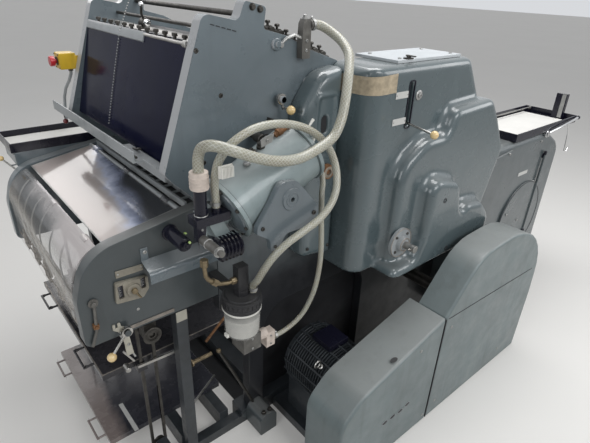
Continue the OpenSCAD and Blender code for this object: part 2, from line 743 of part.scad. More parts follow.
// The casing beside the delivery on the operator side, and the tray on it
casing_top = 1028;
module operator_casing() {
    color(paint) place() plate([[67, 976, 8], [112, 940, 20], [425, 900, 4], [425, casing_top - seat, 4],
        [67, casing_top - seat, 6]], half_w + seat, 178);
}
module operator_tray() {
    color(black) place() difference() {
        block(57, half_w + seat, casing_top, 343, operator_out - half_w - seat, 36);
        block(62, half_w + 5, casing_top + 5, 333, operator_out - half_w - 10, 36);
    }
}
stop_x = 290;
stop_y = half_w + 34;
stop_z = 1346;
module stop_box() {
    color("gold") place() difference() {
        union() {
            block(stop_x, stop_y - 30, stop_z - 30, 62, 60, 60);
            block(stop_x + 62, half_w + seat, stop_z - 20, 60, 4, 40);
        }
        translate([stop_x - 1, stop_y, stop_z]) rotate([0, 90, 0]) cylinder(h = 50, d = 16 + 2 * run);
    }
}
module stop_button() {
    color("crimson") place() {
        translate([stop_x - 28, stop_y, stop_z]) rotate([0, 90, 0]) cylinder(h = 18, d = 38);
        translate([stop_x - 12, stop_y, stop_z]) rotate([0, 90, 0]) cylinder(h = 44, d = 16);
    }
}

// Hoses
suction_pts = [
    [800, -432, 1535], [818, -432, 1535], [834, -445, 1529], [842, -480, 1513], [840, -522, 1494],
    [822, -570, 1468], [795, -602, 1438], [765, -630, 1405], [735, -655, 1360], [712, -668, 1312],
    [675, -678, 1270], [610, -685, 1248], [540, -692, 1238], [468, -695, 1246], [405, -692, 1266],
    [350, -682, 1290], [318, -660, 1302], [303, -635, 1300], [300, -608, 1285], [300, -594, 1262],
    [300, -590, 1245], [300, -590, 1222]];
filter_pts = [
    [345, -590, 1112], [345, -590, 1132], [340, -596, 1175], [337, -610, 1218], [340, -625, 1255],
    [360, -635, 1286], [392, -640, 1308], [438, -640, 1322], [492, -640, 1324], [550, -640, 1315],
    [608, -640, 1294], [658, -642, 1262], [692, -648, 1224], [705, -660, 1186], [704, -675, 1148],
    [690, -690, 1108], [660, -700, 1072], [612, -708, 1046], [552, -710, 1026], [495, -706, 1003],
    [458, -692, 965], [444, -668, 915], [446, -635, 862], [450, -608, 830], [450, -608, 806]];
drain_pts = [
    [657, -560, 1249], [669, -560, 1240], [681, -565, 1226], [690, -576, 1205], [697, -588, 1180],
    [703, -600, 1154], [707, -610, 1129], [701, -622, 1106], [686, -636, 1085], [676, -648, 1050],
    [672, -655, 1005], [676, -656, 955], [680, -655, 905], [684, -651, 855], [686, -645, 805],
    [686, -637, 755], [685, -626, 708], [680, -612, 660], [668, -602, 622], [645, -594, 592],
    [612, -590, 574], [575, -590, 568], [540, -590, 568]];
module hose_suction() {
    color(cream) place() tube(suction_pts, 28);
}
module hose_filter() {
    color(cream) place() tube(filter_pts, 22);
}
module hose_drain() {
    color(cream) place() tube(drain_pts, 17);
}

base_rails();
drive_frame();
operator_frame();
delivery_frame_drive();
delivery_frame_operator();
delivery_lid();
nose_shield();
guard_rods();
jogger_bar();
upper_pile_board();
lower_pile_board();
hoist();
frame_adjuster();
channel_cover();
delivery_lever();
ink_frame_drive();
ink_frame_operator();
ink_panel();
guard_bar();
ink_rollers();
ink_fountain();
press_cylinders();
gear_cover();
arch_cover();
cover_lid();
crank_boss();
crank_shaft();
slot_lever();
ink_lever();
lower_belt_guard();
large_belt_guard();
drive_shaft();
motor();
pump_cylinder();
pump_bracket();
pump_head();
filter_bowl();
bowl_bracket();
air_valve();
feeder_casing();
feeder_cover();
feeder_table();
side_tray();
operator_casing();
operator_tray();
stop_box();
stop_button();
hose_suction();
hose_filter();
hose_drain();
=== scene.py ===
import json
import math

import bpy
import bmesh
from mathutils import Matrix, Vector, noise
from mathutils.bvhtree import BVHTree


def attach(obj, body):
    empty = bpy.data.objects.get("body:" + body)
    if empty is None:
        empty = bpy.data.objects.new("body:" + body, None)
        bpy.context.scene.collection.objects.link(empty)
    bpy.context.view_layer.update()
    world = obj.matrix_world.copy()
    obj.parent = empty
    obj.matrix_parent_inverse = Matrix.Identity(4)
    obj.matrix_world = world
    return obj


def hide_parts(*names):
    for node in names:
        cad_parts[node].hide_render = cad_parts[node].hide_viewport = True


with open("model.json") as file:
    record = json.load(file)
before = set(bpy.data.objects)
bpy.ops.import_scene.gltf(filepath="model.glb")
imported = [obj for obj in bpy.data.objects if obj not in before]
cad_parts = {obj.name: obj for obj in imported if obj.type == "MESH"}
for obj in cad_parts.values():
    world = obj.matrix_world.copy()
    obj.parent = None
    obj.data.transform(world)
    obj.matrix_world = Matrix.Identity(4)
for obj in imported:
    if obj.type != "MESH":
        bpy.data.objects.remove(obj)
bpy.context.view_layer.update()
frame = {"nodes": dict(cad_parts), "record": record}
nodes = frame["nodes"]
slot_of = {s["node"]: s["material_slot"] for s in frame["record"]["subparts"]}
scene = bpy.context.scene

# Machine coordinates are millimetres from the delivery nose, the frame's centre line and the floor
MID = (1380.5, -131.5)
OUT, TOP = (0, -1, 0), (0, 0, 1)  # toward the drive side, and up
PI = math.pi


def R(x, y, z):
    """A point in machine mm, in the shared frame's metres."""
    return Vector(((x - MID[0]) / 1000, (y - MID[1]) / 1000, z / 1000))


def mm(p):
    """A point of the shared frame, in machine mm."""
    return p.x * 1000 + MID[0], p.y * 1000 + MID[1], p.z * 1000


# Camera: angles from the machine's axes, focal length in pixels of the image
IMAGE_WIDTH, SENSOR, FOCAL = 590, 36, 469.5
HEADING, PITCH, ROLL = (math.radians(a) for a in (41.0, 27.1, -2.24))
fw = Vector((math.sin(HEADING) * math.cos(PITCH), math.cos(HEADING) * math.cos(PITCH), -math.sin(PITCH)))
level = Vector((math.cos(HEADING), -math.sin(HEADING), 0))
drop = fw.cross(level)
right = math.cos(ROLL) * level + math.sin(ROLL) * drop
down = -math.sin(ROLL) * level + math.cos(ROLL) * drop
cam_data = bpy.data.cameras.new("Camera")
cam_data.sensor_width = SENSOR
cam_data.lens = FOCAL / IMAGE_WIDTH * SENSOR
cam_data.clip_start = 0.05
cam = bpy.data.objects.new("Camera", cam_data)
scene.collection.objects.link(cam)
cam.matrix_world = Matrix((
    (right.x, -down.x, -fw.x, -1.6095),
    (right.y, -down.y, -fw.y, -1.4385),
    (right.z, -down.z, -fw.z, 1.65),
    (0, 0, 0, 1)))
scene.camera = cam
scene.view_settings.view_transform = "Standard"


# Materials, by name
M = {}


class Nodes:
    """Short calls for building a material's shader tree."""
    def __init__(self, name):
        self.m = M[name] = bpy.data.materials.new(name)
        self.m.use_nodes = True
        self.nt = self.m.node_tree
        self.at = self.new("TexCoord").outputs["Object"]

    def link(self, a, b):
        self.nt.links.new(a, b)

    def feed(self, sock, v):
        """Links an output to the socket, or sets its value."""
        if isinstance(v, bpy.types.NodeSocket):
            self.link(v, sock)
        else:
            sock.default_value = v

    def new(self, kind, **values):
        n = self.nt.nodes.new("ShaderNode" + kind)
        for k, v in values.items():
            if k in n.inputs:
                self.feed(n.inputs[k], v)
            else:
                setattr(n, k, v)
        return n

    def wear(self, values):
        """Feeds the surface shader's sockets."""
        for k, v in values.items():
            self.feed(self.nt.nodes["Principled BSDF"].inputs[k], v)

    def xyz(self, vector):
        n = self.new("SeparateXYZ")
        self.link(vector, n.inputs[0])
        return n.outputs

    def noise(self, scale, detail=5, stretch=None):
        at = self.new("Mapping", Vector=self.at, Scale=stretch).outputs["Vector"] if stretch else self.at
        return self.new("TexNoise", Vector=at, Scale=scale, Detail=detail, Roughness=0.6).outputs["Fac"]

    def ramp(self, fac, lo, hi, c0=(0, 0, 0), c1=(1, 1, 1)):
        r = self.new("ValToRGB", Fac=fac)
        e = r.color_ramp.elements
        e[0].position, e[1].position = lo, hi
        e[0].color, e[1].color = (*c0, 1), (*c1, 1)
        return r.outputs["Color"]

    def span(self, value, lo, hi, to_lo=0.0, to_hi=1.0):
        limits = {"From Min": lo, "From Max": hi, "To Min": to_lo, "To Max": to_hi}
        return self.new("MapRange", Value=value, **limits).outputs["Result"]

    def mix(self, fac, a, b):
        n = self.new("Mix", data_type="RGBA")
        for k, v in ((0, fac), (6, a), (7, b)):
            self.feed(n.inputs[k], (*v, 1) if isinstance(v, tuple) else v)
        return n.outputs[2]

    def math(self, op, a, b=0.0):
        n = self.new("Math", operation=op)
        self.feed(n.inputs[0], a)
        self.feed(n.inputs[1], b)
        return n.outputs[0]

    def times(self, a, b):
        return self.math("MULTIPLY", a, b)

    def waver(self, value, fac, amount):
        """The value with noise about zero added."""
        return self.math("ADD", value, self.times(self.math("SUBTRACT", fac, 0.5), amount))

    def bump(self, height, strength, distance):
        return self.new("Bump", Strength=strength, Distance=distance, Height=height).outputs["Normal"]


# SHADE is a painted shade colour, also standing for grime, for the lower parts of a frame; DUST is the colour of dust
# on tops
DUST, SHADE = (0.34, 0.335, 0.32), (0.020, 0.021, 0.024)


def mat(name, color, rough=0.4, vary=0.1, scale=6.0, metal=0.0, coat=0.0, grain=0.1, grain_scale=250.0, dust=0.0,
        streaks=0.0, chips=0.0, chip_color=(0.03, 0.03, 0.03), spec=0.5, dark_below=None, worn_front=None,
        painted_reflection_to=None):
    """A painted, plastic or metal surface with colour variation, smudges, dust on its tops, streaks and chips.

    Three options paint light or shade into the colour: painted shade, mixed with grime, that fades out over a range of
    heights in metres going up; a painted highlight colour on faces toward the delivery nose; and a painted reflection
    colour on the part before a range along the machine."""
    t = Nodes(name)
    base = t.ramp(t.noise(scale), 0.3, 0.7, tuple(c * (1 - vary) for c in color),
                  tuple(min(1, c * (1 + vary)) for c in color))
    if streaks:
        base = t.mix(t.times(t.ramp(t.noise(22, 4, (1, 1, 0.09)), 0.52, 0.72), streaks), base,
                     tuple(c * 0.45 for c in color))
    if chips:
        base = t.mix(t.times(t.ramp(t.noise(130, 3), 0.7, 0.74), chips), base, chip_color)
    faces = t.xyz(t.new("NewGeometry").outputs["Normal"]) if dust or worn_front else None
    if dust:
        base = t.mix(t.times(t.ramp(faces["Z"], 0.55, 0.98), dust), base, DUST)
    at = t.xyz(t.at) if dark_below or painted_reflection_to else None
    # Painted shade mixed with grime: darker toward the bottom, below the given heights
    if dark_below:
        base = t.mix(t.ramp(t.waver(at["Z"], t.noise(5), 0.12), *dark_below), SHADE, base)
    # Painted highlight: faces toward the delivery nose get a lighter colour, as if lit from that side
    if worn_front:
        base = t.mix(t.ramp(t.times(faces["X"], -1.0), 0.35, 0.85), base, worn_front)
    # Painted reflection: the part before the given range along the machine takes a lighter colour, standing in for the
    # room reflected in the gloss
    if painted_reflection_to:
        lo, hi, reflection_colour = painted_reflection_to
        base = t.mix(t.span(t.waver(at["X"], t.noise(9), 0.08), lo, hi), reflection_colour, base)
    smudge = t.span(t.noise(scale * 3.1, 8), 0.3, 0.7, max(0.03, rough - 0.08), min(1.0, rough + 0.14))
    if grain:
        t.wear({"Normal": t.bump(t.noise(grain_scale, 3), grain, 0.0006)})
    t.wear({"Base Color": base, "Roughness": smudge, "Metallic": metal, "Coat Weight": coat,
                   "Coat Roughness": 0.07, "Specular IOR Level": spec})


def hose_mat():
    """Cream hose with a woven braid showing through its wall."""
    t = Nodes("cream_hose")
    turns_per_m, strands = 85, 9
    uv = t.xyz(t.new("UVMap", uv_map="UVMap").outputs[0])
    along, around = t.times(uv["X"], 2 * PI * turns_per_m), t.times(uv["Y"], 2 * PI * strands)
    waves = [t.math("SINE", t.math(op, along, around)) for op in ("ADD", "SUBTRACT")]
    thread = t.ramp(t.math("MAXIMUM", *waves), 0.62, 0.96)
    grime = t.ramp(t.noise(14, 6), 0.45, 0.75)
    base = t.mix(grime, (0.32, 0.315, 0.255), (0.22, 0.19, 0.13))
    t.wear({"Base Color": t.mix(t.times(thread, 0.8), base, (0.50, 0.50, 0.44)),
                   "Normal": t.bump(thread, 0.35, 0.0008), "Roughness": 0.32, "Subsurface Weight": 0.25,
                   "Subsurface Radius": (0.006, 0.005, 0.003), "Coat Weight": 0.3})


def clear_mat(name, line, zones, rough=0.07):
    """Clear sheet with cloudy patches; on the lid and shield their colours are painted reflections, on the bowl haze.

    The line gives a place on the sheet as x, y and z factors and an offset; each zone is (place, colour, cover)."""
    t = Nodes(name)
    at = t.xyz(t.at)
    place = line[3]
    for axis, k in zip("XYZ", line):
        if k:
            place = t.math("ADD", place, t.times(at[axis], k))
    place = t.waver(t.waver(place, t.noise(4.5, 4), 0.55), t.noise(17, 5), 0.12)
    col, cov = t.new("ValToRGB", Fac=place), t.new("ValToRGB", Fac=place)
    for r, pick in ((col, lambda z: (*z[1], 1)), (cov, lambda z: (z[2], z[2], z[2], 1))):
        e = r.color_ramp.elements
        while len(e) < len(zones):
            e.new(0.5)
        for q, z in zip(e, zones):
            q.position, q.color = z[0], pick(z)
    scratch = t.ramp(t.noise(60, 4, (1, 0.05, 1)), 0.62, 0.7)
    t.wear({"Base Color": col.outputs["Color"],
                   "Alpha": t.math("ADD", cov.outputs["Color"], t.times(scratch, 0.05)), "Roughness": rough,
                   "Specular IOR Level": 0.6, "Coat Weight": 0.5, "Coat Roughness": 0.03})


def lever_mat(name, centre):
    """Bright steel with an ivory knob round a centre in machine mm."""
    t = Nodes(name)
    knob_radius = 0.0148
    d = t.new("VectorMath", operation="DISTANCE")
    t.link(t.at, d.inputs[0])
    d.inputs[1].default_value = R(*centre)
    knob = t.math("LESS_THAN", d.outputs["Value"], knob_radius)
    warm = t.ramp(t.noise(35), 0.3, 0.7, (0.66, 0.46, 0.20), (0.80, 0.62, 0.33))
    worn = t.ramp(t.noise(60), 0.35, 0.7, (0.30, 0.29, 0.27), (0.52, 0.51, 0.49))
    sheen = t.ramp(t.noise(90), 0.3, 0.7, (0.16, 0.16, 0.16), (0.3, 0.3, 0.3))
    t.wear({"Base Color": t.mix(knob, worn, warm), "Metallic": t.math("SUBTRACT", 1.0, knob),
                   "Roughness": sheen, "Coat Weight": 0.4})


def paint(name, color, rough, coat, dust, streaks, chips, **more):
    """Machine enamel, with a coarser grain than the other surfaces."""
    mat(name, color, rough, coat=coat, dust=dust, streaks=streaks, chips=chips,
        **{"grain": 0.12, "grain_scale": 90, "scale": 4, **more})


paint("machine_paint", (0.115, 0.142, 0.158), 0.3, 0.45, 0.3, 0.22, 0.35)
paint("cover_paint", (0.082, 0.110, 0.119), 0.24, 0.6, 0.25, 0.1, 0.2, vary=0.08, scale=3, grain=0.1, grain_scale=70)
paint("frame_paint", (0.056, 0.067, 0.071), 0.36, 0.18, 0.3, 0.3, 0.4, vary=0.12, scale=5, grain=0.14)
# The lower drive frame wears painted shade, with grime, that darkens it toward the floor
paint("lower_frame_painted_shade", (0.088, 0.105, 0.113), 0.36, 0.3, 0.3, 0.4, 0.4, vary=0.14, scale=6, grain=0.14,
      dark_below=(0.66, 0.84))
# The ink unit's frames get a painted highlight on faces toward the delivery nose
paint("ink_unit_paint", (0.128, 0.158, 0.175), 0.3, 0.4, 0.25, 0.15, 0.3, vary=0.09, chip_color=(0.05, 0.05, 0.05),
      worn_front=(0.40, 0.41, 0.42))
paint("feeder_paint", (0.074, 0.091, 0.097), 0.3, 0.4, 0.3, 0.2, 0.35)
paint("pump_paint", (0.23, 0.28, 0.285), 0.36, 0.3, 0.35, 0.2, 0.4, vary=0.14, scale=9, grain=0.16,
      chip_color=(0.05, 0.05, 0.05))
paint("guard_paint", (0.138, 0.172, 0.176), 0.42, 0.15, 0.45, 0.35, 0.5, vary=0.14, scale=5, grain=0.15,
      grain_scale=120, chip_color=(0.25, 0.24, 0.21))
mat("light_paint", (0.32, 0.34, 0.35), 0.4, coat=0.25, dust=0.1, streaks=0.3, chips=0.4,
    chip_color=(0.08, 0.07, 0.06))
mat("dark_paint", (0.03, 0.035, 0.04), 0.42, 0.3, 12, coat=0.2, streaks=0.3)
mat("black_gloss", (0.008, 0.008, 0.017), 0.2, 0.2, 4, coat=0.15, grain=0.05, spec=0.3)
mat("navy_panel", (0.009, 0.010, 0.030), 0.16, 0.25, 3, grain=0.03, spec=0.06)
mat("black_board", (0.026, 0.025, 0.029), 0.24, 0.3, 7, coat=0.15, grain=0.04, grain_scale=40, spec=0.35)
# The lower pile board carries a painted reflection, a brownish patch toward the delivery nose
mat("lower_board_painted_reflection", (0.032, 0.033, 0.042), 0.22, 0.3, 7, coat=0.25, grain=0.04, grain_scale=40, spec=0.35,
    painted_reflection_to=(-1.29, -1.25, (0.21, 0.175, 0.165)))
# Painted shade for the machine's inside
mat("inner_painted_shade", (0.024, 0.0245, 0.027), 0.45, 0.4, 5, grain=0.2, spec=0.25)
mat("cover_lid_plate", (0.50, 0.53, 0.55), 0.42, 0.06, coat=0.2, streaks=0.15)
mat("oily_casting", (0.13, 0.125, 0.115), 0.38, 0.35, 25, metal=0.35, grain=0.3, streaks=0.3)
mat("aged_clamp", (0.60, 0.52, 0.46), 0.45, 0.18, 40, grain=0.2)
mat("worn_stops", (0.26, 0.22, 0.18), 0.45, 0.3, 30, metal=0.2, streaks=0.3)
mat("old_plate", (0.27, 0.25, 0.205), 0.42, 0.2, 25, metal=0.3, streaks=0.4)
mat("bare_steel", (0.42, 0.41, 0.39), 0.33, 0.15, 14, metal=1.0, streaks=0.3)
mat("chrome", (0.72, 0.72, 0.72), 0.1, 0.05, metal=1.0, grain=0.03)
mat("dark_steel", (0.07, 0.066, 0.06), 0.42, 0.35, 30, metal=0.8, grain=0.3)
mat("zinc", (0.36, 0.36, 0.35), 0.4, 0.12, 40, metal=0.9)
mat("brass", (0.22, 0.175, 0.11), 0.42, 0.35, 60, metal=0.8, grain=0.2)
mat("rusty_fitting", (0.22, 0.11, 0.05), 0.6, 0.5, 50, metal=0.4, grain=0.5)
mat("ivory_knob", (0.70, 0.50, 0.22), 0.18, 0.12, 30, coat=0.6, grain=0.03)
mat("roller_rubber", (0.012, 0.012, 0.014), 0.5, 0.2, dust=0.08)
mat("yellow_plastic", (0.72, 0.47, 0.03), 0.35, coat=0.2, streaks=0.3)
mat("red_plastic", (0.50, 0.02, 0.03), 0.3, 0.12, 20, coat=0.4)
mat("dark_red", (0.16, 0.015, 0.02), 0.35, coat=0.3)
mat("blank_label", (0.55, 0.55, 0.53), 0.35, 0.06, 30, coat=0.2)
mat("beige_plate", (0.46, 0.44, 0.37), 0.45, 0.12, 20, streaks=0.4)
mat("white_plastic", (0.74, 0.73, 0.68), scale=25, dust=0.1)
mat("paper_sheet", (0.70, 0.69, 0.66), 0.75, 0.04, 8, spec=0.2)
mat("crinkled_tape", (0.40, 0.33, 0.23), 0.42, 0.28, 45, coat=0.2, grain=0.5, grain_scale=120)
mat("worn_ring", (0.30, 0.26, 0.21), 0.45, 0.3, 30, metal=0.3, grain=0.3)
mat("worn_edge", (0.30, 0.27, 0.24), 0.5, 0.3, 40, metal=0.6)
mat("bowl_filling", (0.62, 0.61, 0.57), 0.5, 0.15, 20)
mat("small_lens", (0.55, 0.75, 0.25), 0.2, coat=0.6)
hose_mat()
# The lid's zones are painted reflections of the room, and its bluish zone also lightens over a shadow band; the
# shield's zones are painted reflections with haze
clear_mat("lid_painted_reflections", (4.2, -0.84, 0, 5.17), [(0.20, (0.56, 0.49, 0.46), 0.82), (0.30, (0.62, 0.58, 0.59), 0.8),
          (0.39, (0.62, 0.67, 0.84), 0.84), (0.50, (0.36, 0.40, 0.54), 0.62), (0.64, (0.09, 0.09, 0.10), 0.38)], 0.14)
clear_mat("shield_painted_reflections", (0, 0.5, -3.2, 3.2), [(0.02, (0.62, 0.57, 0.56), 0.66), (0.17, (0.54, 0.51, 0.50), 0.52),
          (0.29, (0.22, 0.22, 0.22), 0.3), (0.42, (0.24, 0.23, 0.22), 0.26), (0.52, (0.54, 0.48, 0.41), 0.48),
          (0.64, (0.40, 0.36, 0.31), 0.3), (0.80, (0.2, 0.18, 0.16), 0.12)])
clear_mat("bowl_clear", (0, 0, 0, 0.3), [(0.1, (0.3, 0.3, 0.29), 0.2), (0.6, (0.5, 0.5, 0.48), 0.35)], 0.1)
# A node wears its slot's finish unless it is named here
LOOK = {"nose_shield": "shield_painted_reflections", "guard_rods": "light_paint", "pump_cylinder": "pump_paint",
        "delivery_frame_drive": "frame_paint", "drive_frame": "lower_frame_painted_shade", "lower_belt_guard": "guard_paint",
        "large_belt_guard": "guard_paint", "upper_pile_board": "black_board",
        "lower_pile_board": "lower_board_painted_reflection", "ink_panel": "navy_panel", "hoist": "dark_steel",
        "arch_cover": "cover_paint", "cover_lid": "cover_lid_plate", "filter_bowl": "bowl_clear",
        "drive_shaft": "dark_steel", "ink_frame_drive": "ink_unit_paint", "ink_frame_operator": "ink_unit_paint",
        "feeder_cover": "feeder_paint", "feeder_casing": "feeder_paint", "jogger_bar": "worn_stops",
        "frame_adjuster": "old_plate", "delivery_lid": "lid_painted_reflections"}
for lever, centre in (("delivery_lever", (58.8, -440, 642.7)), ("slot_lever", (1095, -725.9, 1216.9)),
                      ("ink_lever", (686.2, -478, 1300))):
    lever_mat(lever + "_finish", centre)
    LOOK[lever] = lever + "_finish"

# Edges of the frame's nodes: welded, eased and shaded smooth by angle
SMOOTH_ANGLE, EASE_ANGLE = math.radians(32), math.radians(40)
smooth_group = bpy.data.node_groups.new("smooth_by_angle", "GeometryNodeTree")
for way in ("INPUT", "OUTPUT"):
    smooth_group.interface.new_socket("Geometry", in_out=way, socket_type="NodeSocketGeometry")
g_in, g_out, g_angle, g_more, g_face, g_edge = (smooth_group.nodes.new(kind) for kind in (
    "NodeGroupInput", "NodeGroupOutput", "GeometryNodeInputMeshEdgeAngle", "FunctionNodeCompare",
    "GeometryNodeSetShadeSmooth", "GeometryNodeSetShadeSmooth"))
g_more.data_type, g_more.operation = "FLOAT", "GREATER_THAN"
g_more.inputs[1].default_value = SMOOTH_ANGLE
g_face.domain, g_edge.domain = "FACE", "EDGE"
g_face.inputs["Shade Smooth"].default_value = True
g_edge.inputs["Shade Smooth"].default_value = False
for a, b in ((g_in.outputs[0], g_face.inputs["Geometry"]), (g_face.outputs[0], g_edge.inputs["Geometry"]),
             (g_angle.outputs["Unsigned Angle"], g_more.inputs[0]), (g_more.outputs[0], g_edge.inputs["Selection"]),
             (g_edge.outputs[0], g_out.inputs[0])):
    smooth_group.links.new(a, b)


def modify(o, name, kind, **values):
    m = o.modifiers.new(name, kind)
    for k, v in values.items():
        setattr(m, k, v)


def finish_edges(o, bevel, delimit="NORMAL"):
    modify(o, "weld", "WELD", merge_threshold=0.00002)
    modify(o, "flats", "DECIMATE", decimate_type="DISSOLVE", angle_limit=math.radians(0.4), delimit={delimit})
    if bevel:
        modify(o, "ease", "BEVEL", limit_method="ANGLE", angle_limit=EASE_ANGLE, width=bevel / 1000, segments=2,
               use_clamp_overlap=False)
    modify(o, "smooth", "NODES", node_group=smooth_group)
    modify(o, "normals", "WEIGHTED_NORMAL", keep_sharp=True)


# Eased widths in mm, 1 where a node isn't named
BEVEL = {node: width for width, names in (
    (0, "nose_shield lower_belt_guard large_belt_guard arch_cover gear_cover feeder_casing motor hoist"),
    (0.6, "upper_pile_board lower_pile_board"), (0.8, "guard_bar channel_cover delivery_lid"),
    (0.9, "ink_frame_drive ink_frame_operator"), (1.2, "side_tray operator_tray"),
    (1.5, "jogger_bar bowl_bracket cover_lid frame_adjuster"), (2, "feeder_table"),
    (2.5, "base_rails pump_bracket feeder_cover"), (3, "drive_frame operator_frame stop_button"),
    (3.5, "delivery_frame_drive delivery_frame_operator"), (4, "stop_box"), (5, "operator_casing"))
    for node in names.split()}
for node, slot in slot_of.items():
    nodes[node].data.materials.clear()
    nodes[node].data.materials.append(M[LOOK.get(node, slot)])
    finish_edges(nodes[node], BEVEL.get(node, 1.0))


# Forms in machine mm
def catmull(pts, step=7.0):
    """A smooth line through the points."""
    out = []
    n = len(pts)
    for i in range(n - 1):
        p0, p1, p2, p3 = (Vector(pts[max(0, min(n - 1, k))]) for k in (i - 1, i, i + 1, i + 2))
        m = max(2, int((p2 - p1).length / step))
        for k in range(m):
            t = k / m
            out.append(0.5 * ((2 * p1) + (p2 - p0) * t + (2 * p0 - 5 * p1 + 4 * p2 - p3) * t * t
                              + (3 * p1 - p0 - 3 * p2 + p3) * t ** 3))
    out.append(Vector(pts[-1]))
    return out


def turns(n):
    """The angles of n equal steps round a circle."""
    return [2 * PI * k / n for k in range(n)]


def oval(x, z, a, b, n=24):
    return [(x + a * math.cos(t), z + b * math.sin(t)) for t in turns(n)]


def rounded(x0, z0, x1, z1, r, n=5):
    """A rectangle's outline with round corners of n steps."""
    pts = []
    for cx, cz, a0 in ((x1 - r, z1 - r, 0), (x0 + r, z1 - r, 90), (x0 + r, z0 + r, 180), (x1 - r, z0 + r, 270)):
        for k in range(n + 1):
            a = math.radians(a0 + 90 * k / n)
            pts.append((cx + r * math.cos(a), cz + r * math.sin(a)))
    return pts


def ring(p, u, v, r, seg):
    return [p + r * (math.cos(a) * u + math.sin(a) * v) for a in turns(seg)]


def swept(pts, r, seg):
    """Rings square to a line through the points, with one radius or a list of them."""
    n = len(pts)
    P = [Vector(p) for p in pts]
    T = [(P[min(i + 1, n - 1)] - P[max(i - 1, 0)]).normalized() for i in range(n)]
    u = T[0].orthogonal().normalized()
    rings = []
    for i in range(n):
        u = (u - T[i] * u.dot(T[i])).normalized()
        rings.append(ring(P[i], u, T[i].cross(u), r[i] if isinstance(r, list) else r, seg))
    return rings


def mesh_of(name, bm):
    me = bpy.data.meshes.new(name)
    bm.to_mesh(me)
    bm.free()
    return me


def new_obj(name, me, material, body="press", smooth=35):
    """A named piece of the shared frame, riding on its body."""
    o = bpy.data.objects.new(name, me)
    scene.collection.objects.link(o)
    me.materials.append(M[material])
    me.polygons.foreach_set("use_smooth", [True] * len(me.polygons))
    me.set_sharp_from_angle(angle=math.radians(smooth))
    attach(o, body)
    return o


class Group:
    """Gathers turned, bar and sheet forms in machine mm until done() makes a named piece of them."""
    def __init__(self):
        self.bm = bmesh.new()

    def loops(self, rings, closed=False):
        vs = [[self.bm.verts.new(p) for p in r] for r in rings]
        n, m = len(vs), len(vs[0])
        for i in range(n if closed else n - 1):
            a, b = vs[i], vs[(i + 1) % n]
            for k in range(m):
                self.bm.faces.new((a[k], a[(k + 1) % m], b[(k + 1) % m], b[k]))
        if not closed:
            self.bm.faces.new(list(reversed(vs[0])))
            self.bm.faces.new(vs[-1])
        return self

    def cloth(self, rows):
        """An open sheet through rows of points."""
        vs = [[self.bm.verts.new(p) for p in row] for row in rows]
        for a, b in zip(vs, vs[1:]):
            for i in range(len(a) - 1):
                self.bm.faces.new((a[i], a[i + 1], b[i + 1], b[i]))

    def turned(self, p, axis, profile, seg=24, closed=False):
        """A turned form from (height, radius) pairs along the axis."""
        a = Vector(axis).normalized()
        u = a.orthogonal().normalized()
        v = a.cross(u)
        return self.loops([ring(Vector(p) + a * h, u, v, max(r, 0.05), seg) for h, r in profile], closed)

    def cyl(self, p, axis, h, r, seg=24, ease=0.8):
        e = min(ease, r * 0.3, h * 0.3)
        return self.turned(p, axis, [(0, r - e), (e, r), (h - e, r), (h, r - e)], seg)

    def hexhead(self, p, axis, h, r):
        washer = 1.2
        self.turned(p, axis, [(0, r * 1.25), (washer, r * 1.25)], 20)
        return self.turned(p, axis, [(washer, r), (h - 1, r), (h, r * 0.82)], 6)

    def screw(self, p, axis, r):
        """A round head with a socket."""
        return self.turned(p, axis, [(0, r), (r * 0.5, r), (r * 0.75, r * 0.8), (r * 0.75, r * 0.45),
                                     (r * 0.4, r * 0.42)], 16)

    def screws(self, axis, *rows):
        """A screw for each row of x, y, z and radius."""
        for x, y, z, r in rows:
            self.screw((x, y, z), axis, r)

    def ball(self, p, r, seg=20, rows=12):
        return self.turned(p, TOP, [(-r * math.cos(PI * k / rows), r * math.sin(PI * k / rows))
                                    for k in range(rows + 1)], seg)

    def hoop(self, p, axis, big, small, seg=32, sides=8):
        return self.turned(p, axis, [(small * math.sin(a), big + small * math.cos(a)) for a in turns(sides)], seg,
                           True)

    def collar(self, p, axis, h, r_out, r_in, seg=32, ease=0.8):
        return self.turned(p, axis, [(0, r_in), (0, r_out - ease), (ease, r_out), (h - ease, r_out),
                                     (h, r_out - ease), (h, r_in)], seg, True)

    def tube(self, pts, r, seg=10):
        return self.loops(swept(pts, r, seg))

    def bar(self, lo, hi, turn=None):
        """A box between two corners; turn is an axis and an angle in degrees about its middle."""
        (x0, y0, z0), (x1, y1, z1) = lo, hi
        q = [[Vector(c) for c in ((x0, y0, z), (x1, y0, z), (x1, y1, z), (x0, y1, z))] for z in (z0, z1)]
        if turn:
            m = Matrix.Rotation(math.radians(turn[1]), 3, turn[0])
            c = (Vector(lo) + Vector(hi)) / 2
            q = [[c + m @ (p - c) for p in r] for r in q]
        return self.loops(q)

    def sheet(self, outline, t, at, plane="xz"):
        """A flat plate: outline in the plane, from at to at + t along the third axis."""
        put = {"xz": lambda a, b, c: (a, c, b), "xy": lambda a, b, c: (a, b, c)}[plane]
        return self.loops([[Vector(put(a, b, c)) for a, b in outline] for c in (at, at + t)])

    def done(self, name, material, body="press", bevel=0.0, smooth=35):
        """Makes the piece and starts the next one."""
        bmesh.ops.recalc_face_normals(self.bm, faces=self.bm.faces)
        for v in self.bm.verts:
            v.co = R(*v.co)
        o = new_obj(name, mesh_of(name, self.bm), material, body, smooth)
        self.bm = bmesh.new()
        if bevel:
            modify(o, "ease", "BEVEL", width=bevel / 1000, segments=2, limit_method="ANGLE", angle_limit=EASE_ANGLE,
                   harden_normals=True)
        return o


